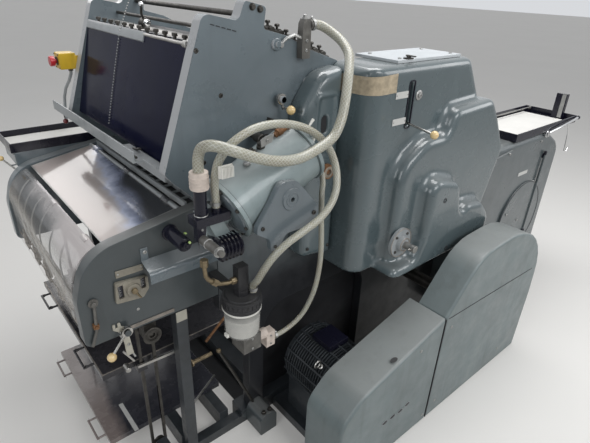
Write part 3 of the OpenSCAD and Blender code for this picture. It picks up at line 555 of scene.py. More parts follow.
def hose(name, pts, d, sides=24):
    """The tube of a hose with its length and turn as texture coordinates."""
    n = len(pts)
    bm = bmesh.new()
    uv = bm.loops.layers.uv.new("UVMap")
    rings = [[bm.verts.new(R(*q)) for q in r] for r in swept(pts, d / 2, sides)]
    along = [0]
    for i in range(1, n):
        along.append(along[-1] + (pts[i] - pts[i - 1]).length)
    for i in range(n - 1):
        for k in range(sides):
            f = bm.faces.new((rings[i][k], rings[i][(k + 1) % sides], rings[i + 1][(k + 1) % sides], rings[i + 1][k]))
            for l, (a, b) in zip(f.loops, ((i, k), (i, k + 1), (i + 1, k + 1), (i + 1, k))):
                l[uv].uv = (along[a] / 1000, b / sides)
    bm.faces.new(list(reversed(rings[0])))
    bm.faces.new(rings[-1])
    return new_obj(name, mesh_of(name, bm), "cream_hose")


# Hoses
HOSES = {
    "hose_suction": (28, [
        (800, -432, 1535), (818, -432, 1535), (834, -445, 1529), (842, -480, 1513), (840, -522, 1494),
        (822, -570, 1468), (795, -602, 1438), (765, -630, 1405), (735, -655, 1360), (712, -668, 1312),
        (675, -678, 1270), (610, -685, 1248), (540, -692, 1238), (468, -695, 1246), (405, -692, 1266),
        (350, -682, 1290), (318, -660, 1302), (303, -635, 1300), (300, -608, 1285), (300, -594, 1262),
        (300, -590, 1245), (300, -590, 1222)]),
    "hose_filter": (22, [
        (345, -590, 1112), (345, -590, 1132), (340, -596, 1175), (337, -610, 1218), (340, -625, 1255),
        (360, -635, 1286), (392, -640, 1308), (438, -640, 1322), (492, -640, 1324), (550, -640, 1315),
        (608, -640, 1294), (658, -642, 1262), (692, -648, 1224), (705, -660, 1186), (704, -675, 1148),
        (690, -690, 1108), (660, -700, 1072), (612, -708, 1046), (552, -710, 1026), (495, -706, 1003),
        (458, -692, 965), (444, -668, 915), (446, -635, 862), (450, -608, 830), (450, -608, 806)]),
    "hose_drain": (17, [
        (657, -560, 1249), (669, -560, 1240), (681, -565, 1226), (690, -576, 1205), (697, -588, 1180),
        (703, -600, 1154), (707, -610, 1129), (701, -622, 1106), (686, -636, 1085), (676, -648, 1050),
        (672, -655, 1005), (676, -656, 955), (680, -655, 905), (684, -651, 855), (686, -645, 805), (686, -637, 755),
        (685, -626, 708), (680, -612, 660), (668, -602, 622), (645, -594, 592), (612, -590, 574), (575, -590, 568),
        (540, -590, 568)]),
}
for name, (d, pts) in HOSES.items():
    line = catmull(pts)
    o = hose("reinforced_" + name, line, d)
    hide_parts(name)


def bare_copy(node, name):
    """A copy of a node and its mesh, with no material."""
    me = nodes[node].data.copy()
    me.name = name
    me.materials.clear()
    o = bpy.data.objects.new(name, me)
    scene.collection.objects.link(o)
    return o, me


def softened(node, name, voxel, rounds, material):
    """A moulded form of a node, with every inner and outer edge softened."""
    o, me = bare_copy(node, name)
    bm = bmesh.new()
    bm.from_mesh(me)
    bmesh.ops.remove_doubles(bm, verts=bm.verts, dist=0.00003)
    bm.to_mesh(me)
    bm.free()
    modify(o, "remesh", "REMESH", mode="VOXEL", voxel_size=voxel / 1000)
    modify(o, "soften", "SMOOTH", factor=0.5, iterations=rounds)
    moulded = bpy.data.meshes.new_from_object(o.evaluated_get(bpy.context.evaluated_depsgraph_get()))
    bpy.data.objects.remove(o)
    piece = new_obj(name, moulded, material, smooth=180)
    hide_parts(node)
    return piece


def recolored(node, name, base, rule):
    """A copy of a node that wears more than one finish: rule gives a face's material from its centre in machine mm."""
    o, me = bare_copy(node, name)
    keys = [base]
    for p in me.polygons:
        k = rule(*mm(p.center)) or base
        if k not in keys:
            keys.append(k)
        p.material_index = keys.index(k)
    for k in keys:
        me.materials.append(M[k])
    finish_edges(o, 0.8, "MATERIAL")
    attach(o, "press")
    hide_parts(node)


recolored("pump_head", "air_head", "black_gloss", lambda x, y, z:
          "aged_clamp" if z > 1175 else
          "pump_paint" if x > 300 and y > -640 and 1110 > z > 1026 and not (y < -565 and z > 1076) else
          "oily_casting" if y < -615 and z > 1020 else None)
recolored("bowl_bracket", "bowl_holder", "roller_rubber", lambda x, y, z:
          "aged_clamp" if x > 465 and z < 640 else "oily_casting" if z < 655 else None)
recolored("ink_fountain", "fountain_trough", "black_gloss", lambda x, y, z:
          "bare_steel" if (x - 498) ** 2 + (z - 1468) ** 2 < 29 ** 2 else
          "dark_steel" if x > 562 or z < 1300 else None)
recolored("base_rails", "base_frame", "dark_paint", lambda x, y, z:
          "frame_paint" if 540 < x < 630 and y < -400 else None)

cover = softened("gear_cover", "moulded_cover", 5.5, 14, "cover_paint")
cover_tree = BVHTree.FromPolygons([v.co for v in cover.data.vertices], [p.vertices for p in cover.data.polygons])
softened("arch_cover", "moulded_arch_cover", 4.0, 8, "cover_paint")


def on_cover(p, toward):
    """Where a line from p meets the moulded cover, in machine mm, with the surface's normal."""
    hit, normal, _, _ = cover_tree.ray_cast(R(*p), Vector(toward).normalized())
    return Vector(mm(hit)), normal


# Small parts on the gear cover
FACE1, FACE2, FACE3 = -612, -665, -720  # y of its steps
LABELS = ((1013, 1076, 1320, 1342), (1012, 1080, 1232, 1254))


def on_tape(s, t):
    """A point of the crinkled tape round the cover's front edge, s of the way along and t of the way up."""
    x, z = 840 + 172 * s, 1338 + 4 * s + (54 + 6 * s) * t
    turn = max(0, 1 - max(0, x - 900) / 62) if x < 962 else 0
    if x < 905:
        start, way = (700, -440 - (x - 840) * 2.0, z), (1, 0, 0)
    else:
        start, way = (x - 180 * turn, -760, z), (turn, 1, 0)
    hit, normal = on_cover(start, way)
    w = noise.noise(Vector((x * 0.09, z * 0.16, 3))) + 0.6 * noise.noise(Vector((x * 0.25, z * 0.3, 7)))
    return hit + normal * (1.6 + 1.3 * w)


g = Group()
g.cloth([[on_tape(i / 64, j / 14) for i in range(65)] for j in range(15)])
g.done("cover_tape", "crinkled_tape", smooth=50)

for x0, x1, z0, z1 in LABELS:
    g.sheet(rounded(x0, z0, x1, z1, 2), -2, FACE1 - 0.4)
g.done("cover_label_plates", "blank_label", bevel=0.4)
for x0, x1, z0, z1 in LABELS:
    for x in (x0 + 4, x1 - 4):
        g.cyl((x, FACE1 - 2.2, (z0 + z1) / 2), OUT, 1.6, 2.2, 10)
g.turned((1136, FACE1 + 2, 1321), OUT, [(0, 17), (5, 17), (7, 14), (7, 9), (11, 9), (12, 8), (12, 3), (9, 3)])
g.done("cover_screws", "zinc")

# Slot rim and the hole liners
inner, outer = rounded(1083, 1216, 1107, 1370, 6, 4), rounded(1079, 1212, 1111, 1374, 9, 4)
vi = [[g.bm.verts.new((a, y, b)) for a, b in inner] for y in (FACE1 - 1.6, FACE1 + 24)]
vo = [[g.bm.verts.new((a, y, b)) for a, b in outer] for y in (FACE1 - 1.6, FACE1)]
for k in range(len(inner)):
    m = (k + 1) % len(inner)
    for q in ((vo[0][k], vo[0][m], vi[0][m], vi[0][k]), (vi[0][k], vi[0][m], vi[1][m], vi[1][k]),
              (vo[1][k], vo[1][m], vo[0][m], vo[0][k])):
        g.bm.faces.new(q)
g.done("lever_slot_rim", "black_gloss")
for x, z in ((1252, 937), (1328, 706)):
    g.collar((x, FACE3 + 6, z), OUT, 7.5, 10, 6.4)
    g.cyl((x, FACE3 + 8, z), OUT, 2, 6.5)
g.done("cover_hole_liners", "roller_rubber")

# Crank flange: screws and worn rims
CX, CZ = 1074, 796
for k in range(4):
    a = math.radians(45 + 90 * k)
    g.screw((CX + 43 * math.cos(a), FACE2 - 12, CZ + 43 * math.sin(a)), OUT, 5.5)
g.done("crank_flange_screws", "dark_steel")
g.hoop((CX, FACE2 - 30, CZ), OUT, 25, 2.4)
g.hoop((CX, FACE2 - 13, CZ), OUT, 57, 1.6)
g.done("crank_flange_rims", "worn_edge")

# Lid plate on the cover's top
g.bar((1086, -588, 1436), (1114, -566, 1440))
g.turned((1100, -577, 1440), TOP, [(0, 8), (5, 8), (6, 6)], 16)
g.bar((1096, -604, 1444), (1104, -566, 1448))
g.done("cover_lid_latch", "dark_steel", bevel=0.6)
for x in (1075, 1365):
    g.screws(TOP, (x, -430, 1435, 6), (x, -560, 1435, 6))
g.done("cover_lid_screws", "zinc")

# Arch cover
g.turned((815, -490, 1240), OUT, [(0, 2), (0.5, 1)], 12)
# A black sheet at the back of the oval hole stands in for the shade inside it: painted shade
hole = [(815 + 13.5 * math.cos(a), 1240 + (15 if math.sin(a) > 0 else -15) + 13.5 * math.sin(a)) for a in turns(28)]
g.sheet(hole, 1, -490)
g.done("arch_hole_shade", "roller_rubber")
g.screws(OUT, (832, -496, 1100, 6), (768, -496, 790, 6), (868, -496, 775, 6))
g.done("arch_cover_screws", "dark_steel")

# Belt guards: seams, screws and vents on their drive face
GY = -883
VENTS = ((851, 192), (896, 192), (942, 190), (983, 198))
g.bar((1146.2, GY - 1.2, 8), (1149.4, GY + 14, 528))
g.tube([(1163, GY - 0.6, 527), (1400, GY - 0.9, 514), (1650, GY - 0.9, 500), (1855, GY - 0.6, 488)], 1.2, 6)
g.done("guard_seams", "roller_rubber")
for x, z in ((1722, 72), (1200, 72), (1200, 470), (1010, 452), (650, 40), (1120, 40)):
    g.turned((x, GY + 1, z), OUT, [(0, 7), (1.8, 7), (2.6, 6), (2.6, 3), (1.4, 2.8)], 16)
g.done("guard_screws", "zinc")
for x, z in VENTS:
    g.sheet(oval(x, z, 15, 8), -0.8, GY)
g.sheet(oval(883, -856, 17, 9), 1.2, 463.5, "xy")
g.done("guard_vents", "roller_rubber")
for x, z in VENTS:
    g.turned((x, GY, z), OUT, [(0, 9.2), (1.4, 9.2), (1.4, 8.4), (0, 8.4)], 24, True)
for v in g.bm.verts:
    x = min((x for x, z in VENTS), key=lambda x: abs(x - v.co.x))
    v.co.x = x + (v.co.x - x) * 1.8
g.done("guard_vent_rims", "light_paint")

# Ink unit's drive frame: screws, bosses and slot marks
for x, z in ((407, 1479), (477, 1356), (413, 1170)):
    g.screw((x, -416, z), OUT, 6.6)
for x, z in ((586, 1584), (612, 1578)):
    g.hexhead((x, -420, z), OUT, 8, 8)
for x, z in ((455, 1085), (620, 1075), (900, 1075), (905, 1390)):
    g.screw((x, -420, z), OUT, 7)
g.done("ink_frame_screws", "dark_steel")
for x, z in ((670, 1484), (798, 1364)):
    g.turned((x, -420, z), OUT, [(0, 17), (7, 17), (9, 15), (9, 9), (14, 9), (15, 8)])
g.turned((679, -444, 1327), OUT, [(0, 11), (8, 11), (10, 9)])
g.done("ink_frame_bosses", "ink_unit_paint")
for k in range(5):
    g.bar((452 + k * 17, -421.2, 1540 - k * 4.2), (464 + k * 17, -419.5, 1542.5 - k * 4.2), ("Y", 14))
g.done("ink_frame_slot_marks", "roller_rubber")

# Ink unit top: key heads, panel edge bar and rod, bead chain, ductor bracket
for y in range(-330, 331, 60):
    g.turned((431, y + 12, 1491), TOP, [(0, 5), (8, 5), (8, 8.5), (15, 8.5), (17, 7)], 12)
g.done("fountain_keys", "dark_steel")
g.sheet([(398, 1468), (410, 1486), (412, 1494), (406, 1498), (401, 1490), (394, 1472)], 493, -115)
g.done("panel_edge_bar", "light_paint", bevel=1)
g.tube([(406, -110, 1490), (406, -379, 1490)], 5, 12)
g.cyl((406, -360, 1490), OUT, 18, 10)
g.done("panel_edge_rod", "bare_steel")
for k in range(33):
    t = k / 32
    z = 1478 - 290 * t
    g.ball((314.5 + (z - 1164) * 86 / 324, 68 + 3 * math.sin(3 * t), z), 2.6, 10)
for k in range(12):
    g.ball((399 + 2.6 * k, 67 - 3.4 * k, 1486 + 8.4 * k), 2.6, 10)
g.done("bead_chain", "zinc")
g.cyl((470, 40, 1512), OUT, 30, 15)
g.tube([(470, 25, 1512), (455, 10, 1540), (452, 0, 1562)], 4)
g.bar((462, 40, 1490), (478, 60, 1512))
g.tube([(520, -378, 1520), (520, 378, 1520)], 6, 12)
g.done("ductor_bracket", "dark_steel")
g.turned((470, 10, 1512), OUT, [(0, 12), (2, 12), (3, 10), (3, 5), (6, 5), (7, 4)])
g.ball((452, -2, 1568), 8)
g.done("ductor_bright_parts", "chrome")

# Roller sockets on a rail inside the ink frame's sloping edge, and the valve that the suction hose comes from
RAIL_EDGE = ((640, 1524), (709, 1512), (796, 1471), (928, 1427))
g.sheet([(x, z + 3) for x, z in RAIL_EDGE] + [(x, z - 26) for x, z in reversed(RAIL_EDGE)], -5, -374.6)
for k in range(8):
    x = 654 + 36 * k
    (xa, za), (xb, zb) = next(q for q in zip(RAIL_EDGE, RAIL_EDGE[1:]) if q[0][0] <= x <= q[1][0])
    z = za + (zb - za) * (x - xa) / (xb - xa) + 3
    g.turned((x, -378, z), (0, 1, 0), [(0, 9), (12, 9), (12, 12), (30, 12), (32, 9), (60, 9)], 20)
    g.turned((x, -352, z + 9), TOP, [(0, 4), (9, 4), (9, 8), (15, 8), (17, 6)], 12)
g.done("roller_sockets", "dark_steel")
g.sheet([(751, 1440), (783, 1440), (784, 1470), (784, 1550), (778, 1552), (760, 1552), (753, 1540), (750, 1500)], -25,
    -420.4)
g.turned((767, -446, 1535), (0, 1, 0), [(0, 13), (26, 13)], 28)
g.turned((784, -432, 1535), (1, 0, 0), [(0, 17), (5, 17), (6, 14.5), (15, 14.5), (15.7, 13)], 28)
g.bar((756, -446, 1456), (778, -444.8, 1500))
o = g.done("valve_casting", "oily_casting", bevel=3)
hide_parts("air_valve")
g.screws(OUT, (767, -445, 1464, 5), (767, -445, 1492, 5))
g.turned((767, -433, 1551), TOP, [(0, 9), (5, 9), (6, 6), (12, 6), (13, 4)], 6)
g.tube([(752, -436, 1500), (728, -434, 1508), (700, -432, 1500), (684, -428, 1486)], [6, 5, 5, 4])
g.cyl((684, -420, 1482), OUT, 12, 8)
g.done("valve_fittings", "zinc")

# Guard bar: bolts, dark rods and a red ball
for y in (-235, -330):
    g.hexhead((304, y, 1158), (-1, 0, 0), 8, 7)
g.done("guard_bar_bolts", "zinc")
g.tube([(300, -65, 1140), (300, -150, 1160), (300, -235, 1182)], 4)
g.tube([(262, -296, 1180), (262, -150, 1180), (262, 100, 1180)], 4)
g.tube([(262, 399, 1184), (262, 392, 1160), (262, 386, 1142)], 2.2, 8)
g.done("guard_bar_rods", "dark_steel")
g.ball((262, 382, 1132), 10)
g.done("guard_bar_knob", "dark_red")

# Delivery frame's drive face, at y = F, and the pump head's upright axis at HX, HY
F = -420
HX, HY = 300, -590
g.cyl((152, F - 20, 843), OUT, 9, 9)
g.tube([(152, F - 25, 843), (160, F - 27, 828), (167, F - 27, 816)], [4, 3.4, 2.6])
g.done("adjuster_screw", "brass")
for x0, x1, z0, z1 in ((111, 124, 825, 866), (178, 190, 835, 867)):
    g.sheet(rounded(x0, z0, x1, z1, 2, 3), -1, F - 5)
g.done("adjuster_windows", "black_gloss")
for x0, x1, z, n in ((178.5, 184, 838, 7), (111.5, 116, 829, 9)):
    for k in range(n):
        g.bar((x0, F - 6.8, z + k * 4.2), (x1 + 3 * (k % 2), F - 5.9, z + 0.8 + k * 4.2))
g.done("adjuster_scale_marks", "blank_label")
g.sheet([(79, 740), (79, 722), (90, 713), (100, 700), (106, 655), (107, 610), (129, 610), (124, 668), (118, 716),
    (104, 726), (102, 740), (94, 740), (94, 726), (87, 726), (87, 740)], -5, F - 0.6)
g.done("fork_plate", "beige_plate", bevel=0.8)
g.bar((118, F - 3.4, 700), (274, F - 0.4, 712))
g.done("edge_strip", "worn_edge", bevel=0.6)
g.screws(OUT, (100, F - 5.6, 706, 4.5), (117, F - 5.6, 652, 4.5), (202, F - 3.6, 946, 6), (118, F - 4, 902, 2.6),
         (187, F - 4, 902, 2.6))
g.cyl((162, F - 0.3, 760), OUT, 1.4, 5)
g.done("delivery_screws", "zinc")
g.collar((190, F - 12, 652), OUT, 4, 30, 17)
g.turned((190, F - 4, 652), OUT, [(0, 8.6), (3, 8.6), (4, 7)], 20)
g.hoop((190, F - 16, 652), OUT, 21, 1.6)
g.done("bearing_rings", "dark_steel")
g.tube([(40, F - 9, 830), (37, F - 9, 785), (35, F - 9, 748), (26, F - 9, 724), (17, F - 9, 700)], 4.6, 12)
g.turned((40, F - 3, 838), OUT, [(0, 14), (3, 14), (4, 8), (12, 8), (13, 6)])
g.done("nose_rod", "oily_casting")
g.bar((28, F - 14, 756), (43, F + 1, 770), ("Y", 6))
g.cyl((36, F - 15, 763), OUT, 5, 5)
g.done("nose_rod_clamp", "rusty_fitting", bevel=0.8)
g.turned((285, F + 1, 982), OUT, [(0, 25), (8, 25), (9, 21), (94, 21), (98, 19), (98, 10), (104, 10), (105, 8)])
g.done("solenoid", "black_gloss")
g.turned((296, F - 100, 990), OUT, [(0, 4), (3, 4), (4, 3)], 12)
g.bar((300, F - 70, 1000), (306, F - 60, 1002))
g.done("solenoid_mark", "small_lens")
g.tube([(x, HY, z) for x, z in ((HX, 962), (HX, 940), (302, 912), (310, 896), (324, 884), (345, 868), (372, 860),
                                (392, 860))], 6.5, 12)
g.cyl((HX, HY, 944), TOP, 22, 12, 6)
g.cyl((322, HY, 886), (0.75, 0, -0.65), 20, 11, 6)
g.cyl((384, HY, 860), (1, 0, 0), 18, 11, 6)
g.done("brass_elbows", "brass", bevel=0.5)
g.tube([(425, F - 8, 451), (512, F - 8, 242), (598, F - 8, 33)], 6, 12)
g.done("brace_rod", "dark_steel")
g.ball((424, F - 8, 455), 9)
g.cyl((418, -384, 414), (-1, 0, 0), 78, 8)
g.turned((340, -384, 414), (-1, 0, 0), [(0, 14), (6, 14), (8, 11), (8, 5), (12, 5)])
g.done("brace_rod_tip", "brass")

# Dark sheets behind the arch and over the floor between the rails: painted shade, standing in for the shade inside the
# machine
g.sheet([(566, 72), (1240, 72), (1240, 600), (566, 600)], 2, -372)
g.bar((562, -348, 2), (2600, 348, 4))
g.done("inner_shade_sheets", "inner_painted_shade")

# Inside the delivery, below the frame: rods, paper strips, and light strips along the upper board's edges that paint
# its edge highlight
g.tube([(300, -382, 548), (340, -300, 548), (434, -200, 549)], 4, 10)
g.tube([(334, -382, 216), (471, -300, 205)], 4, 10)
g.bar((150, -378, 492), (290, -370, 502), ("Y", 3))
g.bar((96, -377, 556), (158, -371, 562), ("Y", 62))
g.cyl((120, -372, 500), (0, 1, 0), 30, 9)
g.done("delivery_inner_rods", "bare_steel")
g.bar((163, -316, 492.2), (169, -180, 493.4)).done("upper_board_strip", "paper_sheet", "pile_board")
g.bar((134, -270, 100.2), (150, -110, 101.4)).done("lower_board_strip", "blank_label")
# Light strips along the upper board's edges: a painted highlight on its edges
g.bar((45.6, -330, 491.8), (49, 330, 493))
g.bar((45.6, -335, 491.8), (560, -331, 493))
g.done("board_edge_highlight", "worn_edge", body="pile_board")

# Filter bowl: filling, latch, cap grips and bracket screws
BX, BY = 420, -590
g.turned((BX, BY, 655), TOP, [(0, 30), (3, 41), (12, 52), (60, 55), (72, 54), (74, 46)], 32)
g.done("bowl_filling", "bowl_filling")
g.bar((BX - 62, BY - 8, 664), (BX - 54, BY + 8, 676))
g.turned((BX, BY, 752), TOP, [(0, 59), (3, 61), (8, 61), (8, 58.4), (0, 58.4)], 40, True)
g.done("bowl_latch", "white_plastic", bevel=0.8)
for z in (772, 790):
    g.hoop((BX, BY, z), TOP, 60, 1.8)
g.turned((BX, BY, 800), TOP, [(0, 52), (4, 50), (4, 24)], 32)
for x, y in oval(BX, BY, 60, 60):
    g.bar((x - 2, y - 2, 775), (x + 2, y + 2, 788))
g.done("bowl_cap_grips", "roller_rubber")
g.screws(OUT, (434, BY - 35, 640, 4), (434, BY - 35, 602, 4), (522, -606, 596, 3.6), (522, -606, 562, 3.6))
g.done("bowl_bracket_screws", "zinc")

# Hose clamps: place, direction and radius
for p, d, r in (((792, -432, 1535), (1, 0, 0), 17), ((HX, HY, 1206), TOP, 17.5), ((345, -590, 1118), TOP, 14),
        ((450, -608, 812), TOP, 14.2), ((661, -560, 1246), (0.79, 0, -0.6), 11.5), ((548, -590, 568), (1, 0, 0), 11)):
    a = Vector(d).normalized()
    g.turned(Vector(p) + a * 2, d, [(0, r - 2.6), (0, r), (9, r), (9, r - 2.6)], 28, True)
    s = a.orthogonal().normalized()
    g.cyl(Vector(p) + a * 6.5 + s * r, a.cross(s), 14, 3.4, 10)
g.done("hose_clamps", "zinc")

# Air pump: its tilted axis, the way up from it, and its middle
TILT = math.radians(25)
AX = Vector((math.cos(TILT), 0, math.sin(TILT)))
UP = Vector((-math.sin(TILT), 0, math.cos(TILT)))
PC = Vector((528, -560, 1142))
for e in (-147.2, 147.2):
    for k in range(8):
        a = 2 * PI * (k + 0.5) / 8
        q = PC + AX * e + (UP * math.cos(a) + Vector((0, 1, 0)) * math.sin(a)) * 84
        g.hexhead(q, AX if e > 0 else -AX, 6, 5.5)
for along in (-4, 28):
    g.turned(PC + UP * 92 + AX * along, UP, [(-4, 13), (8, 13), (9, 11), (9, 7), (17, 7)], 6)
g.done("pump_nuts", "dark_steel")
for e in (-134, 132):
    g.turned(PC + AX * e, AX, [(0, 91.6), (0, 92.6), (1.4, 92.6), (1.4, 91.6)], 64, True)
g.done("pump_ring_seams", "dark_paint")
g.turned(PC - AX * 147.3, -AX, [(0, 84), (4, 82), (7, 74), (8, 60), (8.6, 34)], 56)
g.done("pump_end_dome", "machine_paint")
g.sheet([(486, 1252), (522, 1262), (528, 1284), (500, 1280), (484, 1272)], 3, -600)
g.screw((505, -600, 1268), OUT, 5)
g.turned(PC + UP * 90 - AX * 40 + Vector((0, -20, 0)), UP, [(0, 10), (7, 10), (8, 8)], 16)
g.done("pump_clip", "zinc")
g.turned((560, -560, 1262), AX, [(0, 9), (10, 9), (12, 13), (24, 13), (26, 10), (44, 10), (46, 12), (60, 12),
    (61, 8)], 16)
g.hoop((600, -560, 1282), AX, 12, 3)
g.done("pump_rusty_fitting", "rusty_fitting")
g.bar((700, -566, 1202), (706, -554, 1232), ("Y", 28))
g.cyl((640, -576, 1262), OUT, 10, 9)
g.tube([(640, -590, 1262), (662, -592, 1284), (676, -592, 1300)], [3, 3, 5])
g.done("pump_white_lever", "white_plastic", bevel=0.8)
NX, NZ = 832, 1078
g.turned((NX, -496, NZ), OUT, [(-1, 26), (5, 26), (7, 22), (18, 20), (19, 18), (19, 11), (8, 10)], 32)
g.done("arch_cover_nipple", "worn_ring")
for k in range(3):
    g.hoop((NX, -501 - 6 * k, NZ), OUT, 24.5 - 1.2 * k, 2.6)
g.cyl((NX, -502, NZ), OUT, 8, 9)
g.done("arch_cover_coil", "rusty_fitting")
for x, z in ((578, 1228), (616, 1216)):
    g.turned((x, -419, z), OUT, [(0, 9), (30, 9), (30, 15), (58, 15), (61, 12), (61, 6), (64, 6)], 24)
g.tube([(600, -470, 1262), (650, -470, 1256), (700, -470, 1236)], 10, 14)
g.bar((634, -486, 1240), (668, -420, 1268), ("Y", 22))
g.done("pump_manifold", "dark_steel", bevel=1)
for k in range(9):
    g.bar((330 + k * 4, -652, 1214), (332.6 + k * 4, -640, 1242))
g.bar((328, -641, 1212), (368, -636, 1244))
g.done("ribbed_strap", "white_plastic", bevel=0.5)
g.hoop((534, -679, 1117), OUT, 20, 1.4)
g.collar((534, -676, 1117), OUT, 4.4, 12, 7)
g.done("bracket_boss_ring", "machine_paint")
g.screws(OUT, (620, -674, 1052, 7), (436, -674, 1054, 6), (480, -674, 984, 5))
g.done("bracket_screws", "dark_steel")
for z in (1090, 1103):
    g.hoop((HX, HY, z), TOP, 17.2, 1.8)
g.hexhead((289, -690, 1042), OUT, 5, 12)
g.hoop((289, -640, 1042), OUT, 13.2, 1.6)
g.screw((289, -612, 1071), OUT, 3.5)
for y in (-28, 28):
    for z in (-44, 28):
        g.screw(PC - AX * 221 + Vector((0, y, 0)) + UP * z, -AX, 4.5)
g.done("pump_head_screws", "zinc")
for k in range(4):
    g.collar((HX, HY, 1180 + 9 * k), TOP, 4, 25.5, 23)
g.done("pump_clamp_ribs", "aged_clamp")

# Motor: cooling ribs round the body, end bell with its ribs, terminal box, eye bolt and foot bolts
MX, MZ = 830, 270
for k in range(17):
    y = -686 + k * 12.4
    g.turned((MX, y, MZ), (0, 1, 0), [(0, 119), (0, 132), (0.8, 133), (2.6, 133), (3.4, 132), (3.4, 119)], 72, True)
g.turned((MX, -700, MZ), OUT, [(0, 121), (6, 119), (14, 104), (22, 72), (24, 40), (30, 38)], 56)
g.done("motor_ribs", "dark_paint")
for a, (x, z) in zip(turns(10), oval(MX, MZ, 88, 88, 10)):
    g.bar((x - 4, -720, z - 14), (x + 4, -700, z + 14), ("Y", -math.degrees(a)))
g.bar((MX - 50, -640, MZ + 128), (MX + 50, -540, MZ + 152))
g.done("motor_end_ribs", "black_gloss", bevel=1.5)
g.turned((MX - 96, -646, MZ + 90), (-0.72, 0, 0.69), [(0, 10), (6, 10), (8, 6), (14, 6)])
g.hoop((MX - 116, -646, MZ + 112), (0, 1, 0), 13, 4.2)
for x in (-80, 80):
    for y in (-660, -520):
        g.hexhead((MX + x, y, 41), TOP, 12, 9)
g.done("motor_bolts", "bare_steel")

# Rail bolts, corner plate and brown rod
for x in (570, 600):
    g.hexhead((x, -505, 101), TOP, 10, 8)
for x in (1000, 1500, 2000, 2500):
    for side in (-1, 1):
        g.hexhead((x, 421 * side, 36), (0, side, 0), 8, 9)
g.done("rail_bolts", "dark_steel")
g.sheet([(279, 648), (317, 648), (317, 688), (279, 688)], -1, -420.2)
g.done("leg_corner_plate", "beige_plate", bevel=0.4)
g.tube([(383, -412, 507), (440, -405, 547), (498, -400, 588)], 5, 10)
g.done("brown_rod", "rusty_fitting")

# Feeder end's drive face: label plate, screws, rim of the round door, knob on its rod
FY = -570
DX, DZ, DR = 2310, 490, 222
g.sheet(rounded(2186, 770, 2286, 790, 2), -1.4, FY - 0.2)
g.done("feeder_label_plate", "blank_label", bevel=0.4)
for x, z in ((2364, 933), (2490, 354), (2609, 280)):
    g.screw((x, FY, z), OUT, 7)
for x, z in ((2398, 695), (2299, 486), (2200, 330), (2420, 330), (2150, 560)):
    g.screw((x, FY - 8.2 if (x - DX) ** 2 + (z - DZ) ** 2 < DR ** 2 else FY, z), OUT, 6.5)
g.screws(OUT, (2000, FY - 12.2, 935, 7), (1818, FY - 12.2, 600, 5))
g.done("feeder_screws", "zinc")
g.hoop((DX, FY - 8.4, DZ), OUT, DR - 1, 2.2, 96)
g.done("feeder_disc_rim", "dark_paint")
g.turned((2436, FY - 10, 852), (0.03, 0, 1), [(-4, 8), (14, 8), (16, 6)], 12)
g.ball((2420, FY - 10, 384), 11)
g.turned((2436, FY, 840), OUT, [(0, 14), (4, 14), (5, 10), (5, 6), (12, 6)], 20)
g.done("feeder_rod_knob", "black_gloss")

# Trays: white sheets, rod, bright lever with its hook, post
for x0, x1, y0, y1, z0 in ((2070, 2700, -522, -284, 983.6), (64, 393, 427, 613, 1033.6)):
    for j in range(3):
        g.cloth([[(x0 + (x1 - x0) * a / 10 + 2 * j, y0 + (y1 - y0) * b / 10 - j,
                   z0 + 3 * j + 1.4 * noise.noise(Vector((a * 0.4, b * 0.5, j)))) for a in range(11)]
                 for b in range(11)])
g.done("tray_sheets", "paper_sheet")
g.tube([(2070, -300, 1012), (2750, -300, 1012)], 4, 10)
for x in (2064, 2748):
    g.bar((x, -306, 1000), (x + 8, -294, 1018.2))
g.done("tray_rod", "bare_steel")
g.tube([(2400, FY - 3, 968), (2480, FY - 14, 984), (2600, FY - 16, 996), (2700, FY - 14, 1004),
    (2752, FY - 10, 1008)], [8, 7, 7, 7, 8], 12)
g.turned((2400, FY + 2, 968), OUT, [(0, 18), (8, 18), (10, 15), (16, 15)])
g.tube([(2620, FY - 16, 996), (2640, FY - 20, 950), (2655, FY - 20, 880), (2664, FY - 20, 830), (2690, FY - 20, 822),
    (2704, FY - 20, 842)], 3.4, 10)
g.done("tray_hand_lever", "chrome")
g.cyl((2752, FY - 10, 1008), (1, 0, 0.1), 8.6, 11)
g.done("lever_end_cap", "black_gloss")
g.bar((2714, -506, 983.4), (2744, -446, 1128))
g.done("tray_post", "black_gloss", bevel=2)
g.bar((2711.5, -502, 996), (2714, -480, 1127))
g.bar((2716, -504, 1128), (2742, -448, 1130.5))
g.done("tray_post_face", "zinc", bevel=0.5)

# Stop box: its grey pipe, collar, gland and screws
g.tube([(334, 454, 1318), (334, 458, 1296), (334, 500, 1262), (332, 560, 1222), (328, 590, 1180), (322, 596, 1120),
    (318, 596, 1066)], 6, 14)
g.done("stop_conduit", "light_paint")
g.collar((291, 454, 1346), (-1, 0, 0), 4, 16, 9)
g.cyl((334, 454, 1316), (0, 0, -1), 10, 9, 6)
g.screws((-1, 0, 0), *((290, y, z, 2.6) for z in (1322, 1370) for y in (430, 478)))
g.screw((385, 424, 1346), (0, 1, 0), 4)
g.done("stop_box_fittings", "dark_steel")

